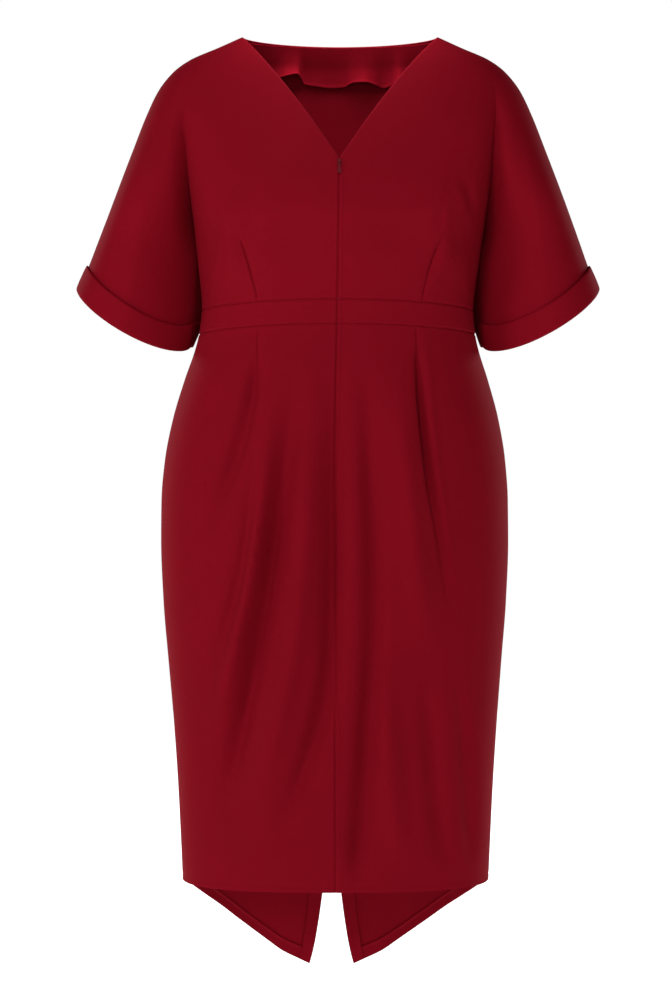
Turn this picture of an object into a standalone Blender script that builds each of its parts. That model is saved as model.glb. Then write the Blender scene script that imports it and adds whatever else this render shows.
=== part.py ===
"""Sheath dress with cut-on sleeves, turned-back cuffs, a waistband and a split, dipping back hem.

The dress stands open as if it were worn. +Z is up, the front faces -Y and the wearer's left is +X.
The origin lies midway between the two shoulder neck points, where the wearer's shoulders carry it.
Every size is in metres.
"""

import math

import bmesh
import bpy
import numpy as np
from mathutils import Matrix, Vector

# Cloth and seams
CLOTH = 0.0016  # wall of one layer of heavy crepe
CUFF_CLOTH = 0.0030  # a cuff is folded double
TAPE_CLOTH = 0.0010  # zip tape, facing edge and turned-up allowances
SEAM_GAP = 0.0003  # between pieces that are sewn to each other

# Neckline
SHOULDER_NECK_X = 0.1235  # half the distance between the shoulder neck points
V_DEPTH = 0.168  # from the shoulder neck points down to the point of the V
V_BOW = 0.0045  # how far each edge of the V bows towards the centre
BACK_NECK_DIP = 0.003

# The dress hangs a little askew: how far each level is shifted towards the wearer's left
HANG_COLUMNS = ("z", "shift")
HANG = (
    (0.000, 0.0000),
    (-0.060, -0.0010),
    (-0.200, -0.0010),
    (-0.300, -0.0022),
    (-0.450, -0.0050),
    (-0.600, -0.0068),
    (-0.750, -0.0066),
    (-0.900, -0.0058),
    (-1.070, -0.0056),
    (-1.200, -0.0060),
)

# Where body and sleeve part
FOLD_START_Z = -0.050  # the fold between body and sleeve starts here
UNDERARM_Z = -0.285
FOLD_ROUNDING = 0.008  # radius of the fold where it is shallow

# Waist and hems
WAIST_TOP_Z = -0.349  # at the side seams
WAIST_BOTTOM_Z = -0.3786
WAIST_RISE = 0.0070  # the waist seams climb towards the centre front
FRONT_HEM_Z = -1.069
SPLIT_TOP_Z = -0.917
TAIL_HALF_GAP = 0.0262  # half the gap that opens steadily between the tails
TIP_FLARE = 0.0030  # and how much further their tips curve apart
SPLIT_LEAN = -0.0050  # the split hangs this far towards the wearer's right
BACK_HEM_COLUMNS = ("x_share", "drop")  # from the side seam (1) to the centre (0), below the front hem
BACK_HEM = (
    (1.00, 0.0000),
    (0.99, 0.0037),
    (0.961, 0.0104),
    (0.93, 0.0160),
    (0.858, 0.0302),
    (0.767, 0.0465),
    (0.632, 0.0680),
    (0.444, 0.0958),
    (0.345, 0.1094),
    (0.20, 0.1228),
    (0.15, 0.1272),
)
TAIL_Z = FRONT_HEM_Z - BACK_HEM[-1][1]  # tips of the two back tails

# Sleeve end and cuff
SLEEVE_END_Z = -0.3895  # at the underarm seam
SLEEVE_DROP = {"front": 0.0262, "back": 0.003}  # how far the middle of the hem hangs below its seams
SLEEVE_PEAK = {"front": 0.60, "back": 0.50}  # where it is deepest, as a share across it from its inner side
SLEEVE_INNER_POWER = {"front": 1.4, "back": 2.6}  # low: a long slope into the fold beside the body
SLEEVE_OUTER_POWER = 2.2
SLEEVE_HUG = {"front": 0.000, "back": 0.027}  # how far its inner side leans round the body
HUG_FULL_Z = -0.312
HUG_LEFT = 0.36  # share of the lean that is left at the sleeve's hem
CUFF_HEIGHT = 0.0320
CUFF_GAP = 0.0008  # clear space between the sleeve's edge and the cuff that wraps it
CUFF_STANDS_OFF = 0.0028  # clear space between the cuff's top edge and the sleeve

# Torso and skirt: outer sizes of each level section
BODY_COLUMNS = ("z", "half_width", "front", "back", "power")
BODY = (
    (0.0000, 0.1235, 0.0220, 0.0550, 2.00),
    (-0.0150, 0.1450, 0.0420, 0.0660, 2.00),
    (-0.0300, 0.1710, 0.0540, 0.0760, 2.05),
    (-0.0450, 0.1860, 0.0630, 0.0830, 2.10),
    (-0.0700, 0.1950, 0.0750, 0.0930, 2.15),
    (-0.1050, 0.1955, 0.0900, 0.1040, 2.25),
    (-0.1500, 0.1920, 0.1060, 0.1130, 2.35),
    (-0.2000, 0.1880, 0.1230, 0.1180, 2.45),
    (-0.2400, 0.1840, 0.1310, 0.1170, 2.50),
    (-0.2850, 0.1785, 0.1290, 0.1100, 2.50),
    (-0.3490, 0.1720, 0.1200, 0.0990, 2.45),
    (-0.3786, 0.1750, 0.1190, 0.1000, 2.45),
    (-0.4000, 0.1800, 0.1210, 0.1050, 2.45),
    (-0.4360, 0.1920, 0.1260, 0.1180, 2.40),
    (-0.4860, 0.2062, 0.1310, 0.1340, 2.35),
    (-0.5370, 0.2155, 0.1340, 0.1450, 2.30),
    (-0.5880, 0.2195, 0.1350, 0.1500, 2.30),
    (-0.6390, 0.2200, 0.1340, 0.1490, 2.30),
    (-0.7150, 0.2170, 0.1310, 0.1420, 2.35),
    (-0.7910, 0.2108, 0.1275, 0.1340, 2.40),
    (-0.8680, 0.2045, 0.1240, 0.1270, 2.45),
    (-0.9440, 0.1995, 0.1210, 0.1210, 2.50),
    (-1.0200, 0.1958, 0.1180, 0.1160, 2.50),
    (-1.0700, 0.1937, 0.1165, 0.1140, 2.45),
    (-1.2000, 0.1890, 0.1120, 0.1100, 2.50),
)

# Sleeve, for each body level: its underarm and outer seams, and its depth each way from the seams
SLEEVE_COLUMNS = ("z", "inner_x", "outer_x", "outer_z", "front", "back")
SLEEVE = (
    (0.0000, 0.1235, 0.1235, 0.0000, 0.0200, 0.0200),
    (-0.0150, 0.1450, 0.1560, -0.0150, 0.0300, 0.0300),
    (-0.0300, 0.1710, 0.1900, -0.0300, 0.0380, 0.0380),
    (-0.0450, 0.1860, 0.2105, -0.0450, 0.0430, 0.0430),
    (-0.0700, 0.1950, 0.2295, -0.0690, 0.0490, 0.0490),
    (-0.1050, 0.1955, 0.2450, -0.1020, 0.0550, 0.0540),
    (-0.1500, 0.1920, 0.2610, -0.1440, 0.0600, 0.0570),
    (-0.2000, 0.1880, 0.2775, -0.1880, 0.0620, 0.0590),
    (-0.2400, 0.1840, 0.2905, -0.2220, 0.0630, 0.0600),
    (-0.2850, 0.1785, 0.3050, -0.2600, 0.0630, 0.0600),
    (-0.3150, 0.1795, 0.3150, -0.2870, 0.0620, 0.0590),
    (-0.3340, 0.1815, 0.3215, -0.3040, 0.0610, 0.0580),
    (-0.3490, 0.1876, 0.3275, -0.3180, 0.0600, 0.0570),
)

# Long soft folds. Each runs down through three points seen from its own face and is a ridge (+)
# or a trough (-) of that height at its middle; "start" and "end" say how fast it rises and fades.
FOLD_COLUMNS = (
    "face", "top_x", "top_z", "mid_x", "mid_z", "low_x", "low_z", "spread", "height", "start", "end",
)
FOLDS = (
    # darts above the waistband, and the fullness that they release
    ("front", -0.1200, -0.262, -0.1120, -0.305, -0.1035, -0.345, 0.0060, -0.0030, 0.35, 0.02),
    ("front", 0.1130, -0.248, 0.1070, -0.300, 0.1010, -0.345, 0.0060, -0.0030, 0.35, 0.02),
    ("front", -0.1360, -0.190, -0.1320, -0.255, -0.1500, -0.330, 0.0180, 0.0045, 0.45, 0.35),
    ("front", 0.1330, -0.180, 0.1260, -0.255, 0.1480, -0.330, 0.0180, 0.0050, 0.45, 0.35),
    ("front", -0.0650, -0.190, -0.0560, -0.235, -0.0700, -0.320, 0.0300, -0.0030, 0.45, 0.45),
    ("front", 0.0550, -0.190, 0.0650, -0.240, 0.0720, -0.320, 0.0300, -0.0025, 0.45, 0.45),
    # skirt, wearer's right
    ("front", -0.1036, -0.379, -0.1230, -0.484, -0.1640, -0.600, 0.0150, -0.0062, 0.20, 0.45),
    ("front", -0.0979, -0.480, -0.1096, -0.680, -0.1592, -0.840, 0.0115, 0.0052, 0.35, 0.40),
    ("front", -0.0600, -0.425, -0.0913, -0.662, -0.1500, -0.960, 0.0165, -0.0080, 0.35, 0.40),
    ("front", -0.0450, -0.440, -0.0523, -0.700, -0.0880, -0.960, 0.0220, 0.0045, 0.35, 0.40),
    ("front", -0.0115, -0.400, -0.0150, -0.686, -0.0984, -0.985, 0.0140, -0.0060, 0.30, 0.35),
    # skirt, wearer's left
    ("front", 0.0955, -0.378, 0.0982, -0.490, 0.1129, -0.610, 0.0100, -0.0072, 0.12, 0.45),
    ("front", 0.1150, -0.560, 0.1340, -0.741, 0.1277, -0.990, 0.0170, -0.0042, 0.35, 0.45),
    ("front", 0.0720, -0.430, 0.0860, -0.650, 0.1100, -0.860, 0.0220, 0.0055, 0.35, 0.40),
    ("front", 0.0289, -0.390, 0.0395, -0.650, 0.0127, -1.020, 0.0180, -0.0065, 0.30, 0.35),
    # back darts over and under the waist, and the drape they let go
    ("back", -0.0950, -0.215, -0.0900, -0.290, -0.0860, -0.345, 0.0055, -0.0024, 0.40, 0.02),
    ("back", 0.0950, -0.220, 0.0900, -0.290, 0.0860, -0.345, 0.0055, -0.0024, 0.40, 0.02),
    ("back", -0.0860, -0.378, -0.0900, -0.440, -0.0950, -0.500, 0.0060, -0.0026, 0.02, 0.60),
    ("back", 0.0860, -0.378, 0.0900, -0.440, 0.0950, -0.505, 0.0060, -0.0026, 0.02, 0.60),
    ("back", -0.1300, -0.560, -0.1180, -0.780, -0.1320, -1.000, 0.0240, -0.0050, 0.40, 0.40),
    ("back", 0.1250, -0.600, 0.1150, -0.800, 0.1300, -1.020, 0.0240, -0.0055, 0.40, 0.40),
    ("back", -0.0560, -0.640, -0.0600, -0.840, -0.0720, -1.060, 0.0200, 0.0042, 0.40, 0.40),
    ("back", 0.0600, -0.620, 0.0640, -0.840, 0.0700, -1.060, 0.0200, 0.0040, 0.40, 0.40),
)

# Levels at which the cloth gets a row of points
BODICE_LEVELS = (
    0.0, -0.006, -0.018, -0.036, -0.058, -0.088, -0.126, -V_DEPTH, -0.198, -0.228, -0.256,
    UNDERARM_Z, -0.304, -0.326, WAIST_TOP_Z,
)
SKIRT_ROWS = 20
BODY_COLUMNS_ACROSS = 12  # columns of quads from the centre to the fold or side seam
SLEEVE_COLUMNS_ACROSS = 10
SKIRT_COLUMNS_ACROSS = 20
BACK_SKIRT_COLUMNS_ACROSS = 15
EDGE_COLUMN = 0.0128  # width of the column next to the centre; the zip tape lies on it
DENSE = 90  # steps in which a section curve is worked out before it is shared into columns

# Back neck facing: its free lower edge ripples, and hangs this far off the back
FACING_COLUMNS = ("x", "edge_z", "off")
FACING = (
    (-0.1185, -0.0414, 0.0010),
    (-0.0955, -0.0447, 0.0050),
    (-0.0773, -0.0419, 0.0150),
    (-0.0672, -0.0398, 0.0190),
    (-0.0547, -0.0369, 0.0170),
    (-0.0508, -0.0402, 0.0090),
    (-0.0464, -0.0469, 0.0030),
    (-0.0285, -0.0499, 0.0040),
    (-0.0129, -0.0515, 0.0025),
    (0.0066, -0.0506, 0.0040),
    (0.0196, -0.0460, 0.0100),
    (0.0325, -0.0459, 0.0125),
    (0.0455, -0.0485, 0.0080),
    (0.0573, -0.0520, 0.0025),
    (0.0676, -0.0502, 0.0060),
    (0.0776, -0.0440, 0.0150),
    (0.0956, -0.0449, 0.0060),
    (0.1186, -0.0433, 0.0010),
)
FACING_TOP_Z = -0.0012
FACING_ROWS = 5
FACING_GAP = 0.0012  # clear space between the back and the facing
FACING_LEAN, FACING_CURL = 0.25, 2.2  # it leans off the back from its top, and curls near its edge

# Turned-up allowance of the dipping hem; the faced edges of the split are as wide as EDGE_COLUMN
HEM_ALLOWANCE = 0.020
STRIP_GAP = 0.0006  # between the ends of two allowances

# Concealed zip in the centre front seam
ZIP_END_Z = -0.6200
SLIDER_Z = -0.1745  # the middle of the slider, just under the point of the V
SLIDER_SIZE = (0.0048, 0.0010, 0.0075)  # width, thickness, length of its face plate
BAR_RADIUS = 0.0005  # the bar that carries the pull tab
POST_WIDTH, POST_LENGTH = 0.0008, 0.0022
EYE_INNER, EYE_OUTER = 0.00085, 0.0015
EYE_WIDTH = 0.0020
TAB_WIDTH, TAB_LENGTH, TAB_THICKNESS = 0.0050, 0.0155, 0.0010
ROUND_STEPS = 16

CREPE = ("crepe", (0.200, 0.0035, 0.0095, 1.0), 0.82, 0.0)
TAPE = ("zip_tape", (0.150, 0.0030, 0.0080, 1.0), 0.70, 0.0)
SLIDER_METAL = ("slider_metal", (0.420, 0.200, 0.200, 1.0), 0.32, 1.0)
SIDES = (("left", 1), ("right", -1))
OUTWARD = {"front": -1, "back": 1}


# ---------------------------------------------------------------- curves and tables

def smooth(xs, ys, x):
    """The value at x of a smooth curve through the points (xs, ys), with no overshoot."""
    xs, ys = np.asarray(xs, float), np.asarray(ys, float)
    if xs[0] > xs[-1]:
        xs, ys = xs[::-1], ys[::-1]
    step = np.diff(xs)
    slope = np.diff(ys) / step
    before, after = slope[:-1], slope[1:]
    agree = before * after > 0
    mean = np.where(agree, 2 * before * after / np.where(agree, before + after, 1.0), 0.0)
    tangent = np.concatenate([slope[:1], mean, slope[-1:]])
    i = np.clip(np.searchsorted(xs, x) - 1, 0, len(xs) - 2)
    u = np.clip((x - xs[i]) / step[i], 0.0, 1.0)
    near, far = (1 + 2 * u) * (1 - u) ** 2, u * u * (3 - 2 * u)
    bend = u * (1 - u) * step[i] * ((1 - u) * tangent[i] - u * tangent[i + 1])
    return near * ys[i] + far * ys[i + 1] + bend


def reading(table, names, name, z):
    """A column of a table, read at height z."""
    heights = [row[0] for row in table]
    return smooth(heights, [row[names.index(name)] for row in table], z)


def body(name, z):
    return reading(BODY, BODY_COLUMNS, name, z)


def sleeve(name, z):
    return reading(SLEEVE, SLEEVE_COLUMNS, name, z)


def ease(u):
    """0 up to 0, 1 from 1, and smooth between."""
    u = np.clip(u, 0.0, 1.0)
    return u * u * (3 - 2 * u)


def shared(points, count, edge=None):
    """count + 1 points along a line of points, at equal distances but for a first one of size edge."""
    along = np.concatenate([[0.0], np.cumsum(np.linalg.norm(np.diff(points, axis=0), axis=1))])
    if along[-1] < 1e-9:
        return np.repeat(points[:1], count + 1, axis=0)
    at = np.linspace(0.0, along[-1], count + 1)
    if edge:
        at = np.concatenate([[0.0], np.linspace(min(edge, at[1]), along[-1], count)])
    return np.stack([np.interp(at, along, points[:, k]) for k in range(3)], axis=1)


def fold_height(face, x, z):
    """How far the soft folds lift the cloth at a place seen from its own face."""
    height = np.zeros(np.broadcast(x, z).shape)
    for row in FOLDS:
        fold = dict(zip(FOLD_COLUMNS, row))
        if fold["face"] != face:
            continue
        heights = (fold["top_z"], fold["mid_z"], fold["low_z"])
        line = smooth(heights, (fold["top_x"], fold["mid_x"], fold["low_x"]), z)
        down = (fold["top_z"] - z) / (fold["top_z"] - fold["low_z"])
        strength = ease(down / fold["start"]) * ease((1 - down) / fold["end"])
        across = np.exp(-(((x - line) / fold["spread"]) ** 2))
        height = height + fold["height"] * strength * across
    return height


# ---------------------------------------------------------------- the surface of the dress

def neck_x(z):
    """Half the width of the V at height z."""
    down = min(1.0, -z / V_DEPTH)
    return SHOULDER_NECK_X * (1 - down) - V_BOW * math.sin(math.pi * down)


def rise(face, x_share, z):
    """How far a level line of the body climbs at its centre; x_share is 0 there and 1 at the side."""
    waist = ease((z + 0.20) / (WAIST_TOP_Z + 0.20)) * ease((z + 0.60) / (WAIST_BOTTOM_Z + 0.60))
    neck = ease((z + 0.05) / 0.05)
    climb = WAIST_RISE * waist if face == "front" else -BACK_NECK_DIP * neck
    return climb * (1 - x_share * x_share)


def fold_share(z):
    """How deep the fold between body and sleeve is at body level z: 1 parts them."""
    down = np.clip((FOLD_START_Z - z) / (FOLD_START_Z - UNDERARM_Z), 0.0, 1.0)
    return 1 - (1 - down ** 1.3) ** 0.6


def inner_z(z):
    """Height of the sleeve's underarm seam at body level z."""
    if z >= UNDERARM_Z:
        return z
    return UNDERARM_Z + (z - UNDERARM_Z) * (SLEEVE_END_Z - UNDERARM_Z) / (WAIST_TOP_Z - UNDERARM_Z)


def body_line(face, z, start_x=0.0):
    """Half a level section of the body, from start_x out to its side."""
    half, depth, power = body("half_width", z), body(face, z), body("power", z)
    first = math.asin(min(1.0, (start_x / half) ** (power / 2)))
    angle = np.linspace(first, math.pi / 2, DENSE)
    x = half * np.sin(angle) ** (2 / power)
    y = depth * np.cos(angle) ** (2 / power)
    return x, y


def sleeve_section(face):
    """Half a level ring of the sleeve, as shares of the way across it and of its depth."""
    turn = np.linspace(0.0, math.pi, DENSE)
    inner = turn < math.pi / 2
    power = np.where(inner, SLEEVE_INNER_POWER[face], SLEEVE_OUTER_POWER)
    bulge = np.abs(np.sin(turn)) ** (2 / power)
    reach = np.abs(np.cos(turn)) ** (2 / power)
    peak = SLEEVE_PEAK[face]
    return np.where(inner, peak * (1 - reach), peak + (1 - peak) * reach), bulge


def bodice_lines(face, z):
    """A section of half the bodice at body level z, as two lines of points.

    The first runs from the neckline or centre to the fold, the second over the sleeve to its outer
    seam. Above the underarm the cloth bridges body and sleeve, and the fold between them deepens.
    """
    start_x = neck_x(z) if face == "front" else 0.0
    body_x, body_y = body_line(face, z, min(max(start_x, 0.0), body("half_width", z)))
    half, depth, body_power = body("half_width", z), body(face, z), body("power", z)
    inner, outer = sleeve("inner_x", z), sleeve("outer_x", z)
    across, bulge = sleeve_section(face)
    arm_x = inner + (outer - inner) * across
    arm_y = sleeve(face, z) * bulge
    if z > UNDERARM_Z:
        share = fold_share(z)
        over_body = depth * (1 - (body_x / outer) ** body_power) ** (1 / body_power)
        over_arm = depth * np.clip(1 - (arm_x / outer) ** body_power, 0.0, 1.0) ** (1 / body_power)
        body_y = body_y * share + over_body * (1 - share)
        arm_y = arm_y * share + over_arm * (1 - share)
    body_z = z + rise(face, body_x / half, z)
    drop = SLEEVE_DROP[face] * ease((z + 0.19) / (WAIST_TOP_Z + 0.19))
    arm_z = inner_z(z) + (sleeve("outer_z", z) - inner_z(z)) * across
    arm_z = arm_z - drop * (4 * across * (1 - across)) ** 0.6
    hug = SLEEVE_HUG[face] * ease((UNDERARM_Z - z) / (UNDERARM_Z - HUG_FULL_Z))
    hug *= 1 - (1 - HUG_LEFT) * ease((HUG_FULL_Z - z) / (HUG_FULL_Z - WAIST_TOP_Z))
    arm_x = arm_x - hug * bulge * (1 - across) ** 3
    torso = np.stack([body_x, body_y, body_z], axis=1)
    arm = np.stack([arm_x, arm_y, arm_z], axis=1)
    if UNDERARM_Z < z < 0:
        torso, arm = rounded_fold(torso, arm, FOLD_ROUNDING * (1 - fold_share(z)))
    return torso, arm


def rounded_fold(torso, arm, radius):
    """Both lines again, with the groove where they meet eased to about that radius."""
    line = np.concatenate([torso, arm[1:]])
    meeting = len(torso) - 1
    spacing = max(np.linalg.norm(np.diff(line, axis=0), axis=1).mean(), 1e-6)
    for _ in range(int(min(120, 2 * (radius / spacing) ** 2))):
        line[1:-1] = (line[:-2] + 2 * line[1:-1] + line[2:]) / 4
    return line[: meeting + 1], line[meeting:]


def level_line(face, z, count, start_x=0.0, edge=None):
    """Points of half a level section below the bodice, from start_x to the side seam."""
    x, y = body_line(face, z, start_x)
    half = body("half_width", z)
    return shared(np.stack([x, y, z + rise(face, x / half, z)], axis=1), count, edge)


def hung(points):
    """The points of the left and right alike, shifted to where the dress hangs."""
    points = np.array(points, float)
    heights, shifts = zip(*HANG)
    x, y, z = points[:, 0], points[:, 1], points[:, 2]
    split = ease((SPLIT_TOP_Z - z) / 0.14) * np.where(y > 0, np.clip(1 - (x / 0.19) ** 2, 0, 1), 0.0)
    points[:, 0] = x + smooth(heights, shifts, z) + SPLIT_LEAN * split
    return points


# ---------------------------------------------------------------- walls of cloth

def faced(points, face):
    """Turns a section's depths to the face they lie on and keeps them off the seam plane."""
    out = np.array(points, float)
    out[..., 1] = np.maximum(out[..., 1], SEAM_GAP / 2) * OUTWARD[face]
    return out


def mirrored(rows, side):
    """Rows of points on the wearer's left or, for side -1, mirrored to the right."""
    return [np.array(row) * (side, 1, 1) for row in rows]


def key(place):
    return tuple(np.round(place, 6) + 0.0)


def triangles_of(index, flip=False):
    """The triangles of a grid of point numbers; every quad is cut from its first corner to its last."""
    loops = []
    for upper, lower in zip(index, index[1:]):
        for j in range(len(upper) - 1):
            near, far = (j + 1, j) if flip else (j, j + 1)
            for loop in ((upper[near], lower[near], lower[far]), (upper[near], lower[far], upper[far])):
                if len(set(loop)) == 3:
                    loops.append(loop[::-1] if flip else loop)
    return loops


class Cloth:
    """A piece of cloth: points that are shared where they coincide, and the triangles between them."""

    def __init__(self):
        self.points, self.loops, self.known = [], [], {}

    def point(self, place):
        if key(place) not in self.known:
            self.known[key(place)] = len(self.points)
            self.points.append(np.array(place, float))
        return self.known[key(place)]

    def grid(self, rows, flip=False):
        """Adds rows of points, from the top down and each from the centre to the side.

        Where two sides of one piece meet at the centre, the second is flipped to face the same way.
        """
        index = [[self.point(p) for p in row] for row in rows]
        if flip:
            index = [row[::-1] for row in index]
        self.loops += triangles_of(index, flip)

    def normals(self, outward_y):
        """Unit normals that point out of the dress."""
        points = np.array(self.points)
        sums = np.zeros_like(points)
        for loop in self.loops:
            a, b, c = (points[k] for k in loop)
            sums[list(loop)] += np.cross(b - a, c - a)
        sums /= np.maximum(np.linalg.norm(sums, axis=1, keepdims=True), 1e-12)
        return sums * (np.sign((sums[:, 1] * outward_y).sum()) or 1.0)

    def settle(self, face, fixed=()):
        """Presses the soft folds of its face into it and keeps where its points and normals end up."""
        points = np.array(self.points)
        self.out = flat_in_seams(points, self.normals(OUTWARD[face]))
        for place, normal in fixed:
            self.out[self.known[key(place)]] = normal
        lift = fold_height(face, points[:, 0], points[:, 2])
        self.surface = points + self.out * lift[:, None]
        return self

    def settled(self, rows):
        """Where points of some rows have ended up, and their normals."""
        index = [[self.known[key(p)] for p in row] for row in rows]
        return self.surface[index], self.out[index]


def flat_in_seams(points, normals):
    """Normals with no part that leans out of the centre, side, shoulder and sleeve seams."""
    normals = normals.copy()
    normals[np.abs(points[:, 1]) < SEAM_GAP, 1] = 0.0
    normals[np.abs(points[:, 0]) < SEAM_GAP, 0] = 0.0
    return normals / np.linalg.norm(normals, axis=1, keepdims=True)


def wall(name, points, normals, loops, finish, depth=CLOTH, lift=0.0):
    """A closed wall of cloth: its outer points moved out by lift, its inner ones depth below."""
    count = len(points)
    outer = points + normals * lift
    inner = outer - normals * depth
    a, b, c = (points[[loop[k] for loop in loops]] for k in range(3))
    if (np.cross(b - a, c - a) * normals[[loop[0] for loop in loops]]).sum() < 0:
        loops = [loop[::-1] for loop in loops]
    edges = {(start, end) for loop in loops for start, end in zip(loop, loop[1:] + loop[:1])}
    faces = list(loops) + [tuple(i + count for i in reversed(loop)) for loop in loops]
    for start, end in sorted(edges):
        if (end, start) not in edges:
            faces.append((end, start, start + count, end + count))
    mesh = bpy.data.meshes.new(name)
    mesh.from_pydata(hung(np.concatenate([outer, inner])).tolist(), [], faces)
    return placed(name, mesh, finish)


def panel(name, cloth):
    return wall(name, cloth.surface, cloth.out, cloth.loops, CREPE)


def lying_inside(name, places, normals, finish=CREPE):
    """A strip that lies a seam's gap inside a panel, made from a grid of the panel's own points."""
    index = np.arange(places.shape[0] * places.shape[1]).reshape(places.shape[:2]).tolist()
    flat = places.reshape(-1, 3), normals.reshape(-1, 3)
    return wall(name, *flat, triangles_of(index), finish, TAPE_CLOTH, -CLOTH - SEAM_GAP)


def shortened(places, normals, axis, length, first=True):
    """A grid with its first or last points pulled in by a length."""
    edge, following = (0, 1) if first else (-1, -2)
    grids = [np.moveaxis(g.copy(), axis, 0) for g in (places, normals)]
    apart = np.linalg.norm(grids[0][following] - grids[0][edge], axis=-1, keepdims=True)
    for grid in grids:
        grid[edge] += (grid[following] - grid[edge]) * length / apart
    return [np.moveaxis(g, 0, axis) for g in grids]


def placed(name, mesh, finish):
    """The object of that name that shows a mesh in its finish."""
    mesh.materials.append(material(*finish))
    mesh.shade_smooth()
    mesh.set_sharp_from_angle(angle=math.radians(50))
    thing = bpy.data.objects.new(name, mesh)
    bpy.context.scene.collection.objects.link(thing)
    return thing


def material(name, colour, roughness, metallic):
    made = bpy.data.materials.get(name)
    if made is None:
        made = bpy.data.materials.new(name)
        made.use_nodes = True
        shader = made.node_tree.nodes["Principled BSDF"]
        shader.inputs["Base Color"].default_value = colour
        shader.inputs["Roughness"].default_value = roughness
        shader.inputs["Metallic"].default_value = metallic
    return made


# ---------------------------------------------------------------- bodice and sleeves

def bodice_rows(face, side):
    """Rows of the bodice half: whole ones down to the underarm, then body and sleeve apart."""
    whole, torso_rows, sleeve_rows = [], [], []
    for z in BODICE_LEVELS:
        level = z + SEAM_GAP / 2 if z == WAIST_TOP_Z else z
        torso, arm = bodice_lines(face, level)
        edge = EDGE_COLUMN if face == "front" else None
        torso = faced(shared(torso, BODY_COLUMNS_ACROSS, edge), face)
        arm = faced(shared(arm, SLEEVE_COLUMNS_ACROSS), face)
        if face == "front":
            torso[:, 0] = np.maximum(torso[:, 0], SEAM_GAP / 2)
        if z >= UNDERARM_Z:
            whole.append(np.concatenate([torso, arm[1:]]))
        if z == UNDERARM_Z:
            arm[0] = torso[-1]
        if z <= UNDERARM_Z:
            torso_rows.append(torso)
            sleeve_rows.append(arm)
    return tuple(mirrored(rows, side) for rows in (whole, torso_rows, sleeve_rows))


def underarm_normals(face, sides):
    """At the underarm the cloth faces straight down, on both sides of the dress."""
    place = np.array([body("half_width", UNDERARM_Z), OUTWARD[face] * SEAM_GAP / 2, UNDERARM_Z])
    return [(place * (side, 1, 1), (0.0, 0.0, -1.0)) for side in sides]


def front_bodice(side_name, side):
    cloth = Cloth()
    for rows in bodice_rows("front", side):
        cloth.grid(rows)
    cloth.settle("front", underarm_normals("front", [side]))
    panel(f"bodice_front_{side_name}", cloth)
    return cloth


def back_bodice():
    """The back is cut in one piece, with both sleeve backs."""
    cloth = Cloth()
    for _, side in SIDES:
        for rows in bodice_rows("back", side):
            cloth.grid(rows, side < 0)
    panel("bodice_back", cloth.settle("back", underarm_normals("back", [1, -1])))


# ---------------------------------------------------------------- waistband and skirt

def band_rows(face, side):
    heights = np.linspace(WAIST_TOP_Z - SEAM_GAP / 2, WAIST_BOTTOM_Z + SEAM_GAP / 2, 3)
    if face == "back":
        return mirrored([faced(level_line(face, z, BODY_COLUMNS_ACROSS), face) for z in heights], side)
    lines = [level_line(face, z, BODY_COLUMNS_ACROSS, SEAM_GAP / 2, EDGE_COLUMN) for z in heights]
    return mirrored([faced(line, face) for line in lines], side)


def front_band(side_name, side):
    cloth = Cloth()
    cloth.grid(band_rows("front", side))
    panel(f"waistband_front_{side_name}", cloth.settle("front"))
    return cloth


def back_band():
    cloth = Cloth()
    for _, side in SIDES:
        cloth.grid(band_rows("back", side), side < 0)
    panel("waistband_back", cloth.settle("back"))


def front_skirt_rows(side):
    heights = np.linspace(WAIST_BOTTOM_Z - SEAM_GAP / 2, FRONT_HEM_Z, SKIRT_ROWS + 1)
    lines = [level_line("front", z, SKIRT_COLUMNS_ACROSS, SEAM_GAP / 2, EDGE_COLUMN) for z in heights]
    return mirrored([faced(line, "front") for line in lines], side)


def front_skirt(side_name, side):
    cloth = Cloth()
    cloth.grid(front_skirt_rows(side))
    panel(f"skirt_front_{side_name}", cloth.settle("front"))
    return cloth


def split_x(z):
    """Half the gap between the back panels: a plain seam down to the split, then it opens."""
    down = max(0.0, (SPLIT_TOP_Z - z) / (SPLIT_TOP_Z - TAIL_Z))
    return SEAM_GAP / 2 + TAIL_HALF_GAP * down ** 1.9 + TIP_FLARE * down ** 14


def back_level(z):
    return level_line("back", z, BACK_SKIRT_COLUMNS_ACROSS, split_x(z), EDGE_COLUMN)


def hem_z(column):
    """Height of the dipping back hem at the end of a column."""
    shares, drops = zip(*BACK_HEM)
    z = FRONT_HEM_Z
    for _ in range(6):
        z = FRONT_HEM_Z - smooth(shares, drops, back_level(z)[column, 0] / body("half_width", z))
    return z


def back_skirt_rows(side):
    """Rows of a back panel; the last two bound the turned-up allowance of its hem."""
    top = WAIST_BOTTOM_Z - SEAM_GAP / 2
    hems = [hem_z(column) for column in range(BACK_SKIRT_COLUMNS_ACROSS + 1)]
    rows = []
    for down in np.linspace(0.0, 1.0, SKIRT_ROWS):
        levels = [top + (hem + HEM_ALLOWANCE - top) * down for hem in hems]
        rows.append([back_level(z)[column] for column, z in enumerate(levels)])
    rows.append([back_level(z)[column] for column, z in enumerate(hems)])
    return mirrored([faced(row, "back") for row in rows], side)


def back_skirt(side_name, side):
    """A back panel, the allowance of its hem and the faced edge of the split, both turned inside."""
    rows = back_skirt_rows(side)
    cloth = Cloth()
    cloth.grid(rows)
    panel(f"skirt_back_{side_name}", cloth.settle("back"))
    hem = [row[1:] for row in rows[-2:]]
    lying_inside(f"tail_hem_{side_name}", *shortened(*cloth.settled(hem), 1, STRIP_GAP))
    split = [row[:2] for row in rows if row[0][2] < SPLIT_TOP_Z + 0.02]
    lying_inside(f"split_facing_{side_name}", *cloth.settled(split))


# ---------------------------------------------------------------- cuffs and facing

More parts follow.
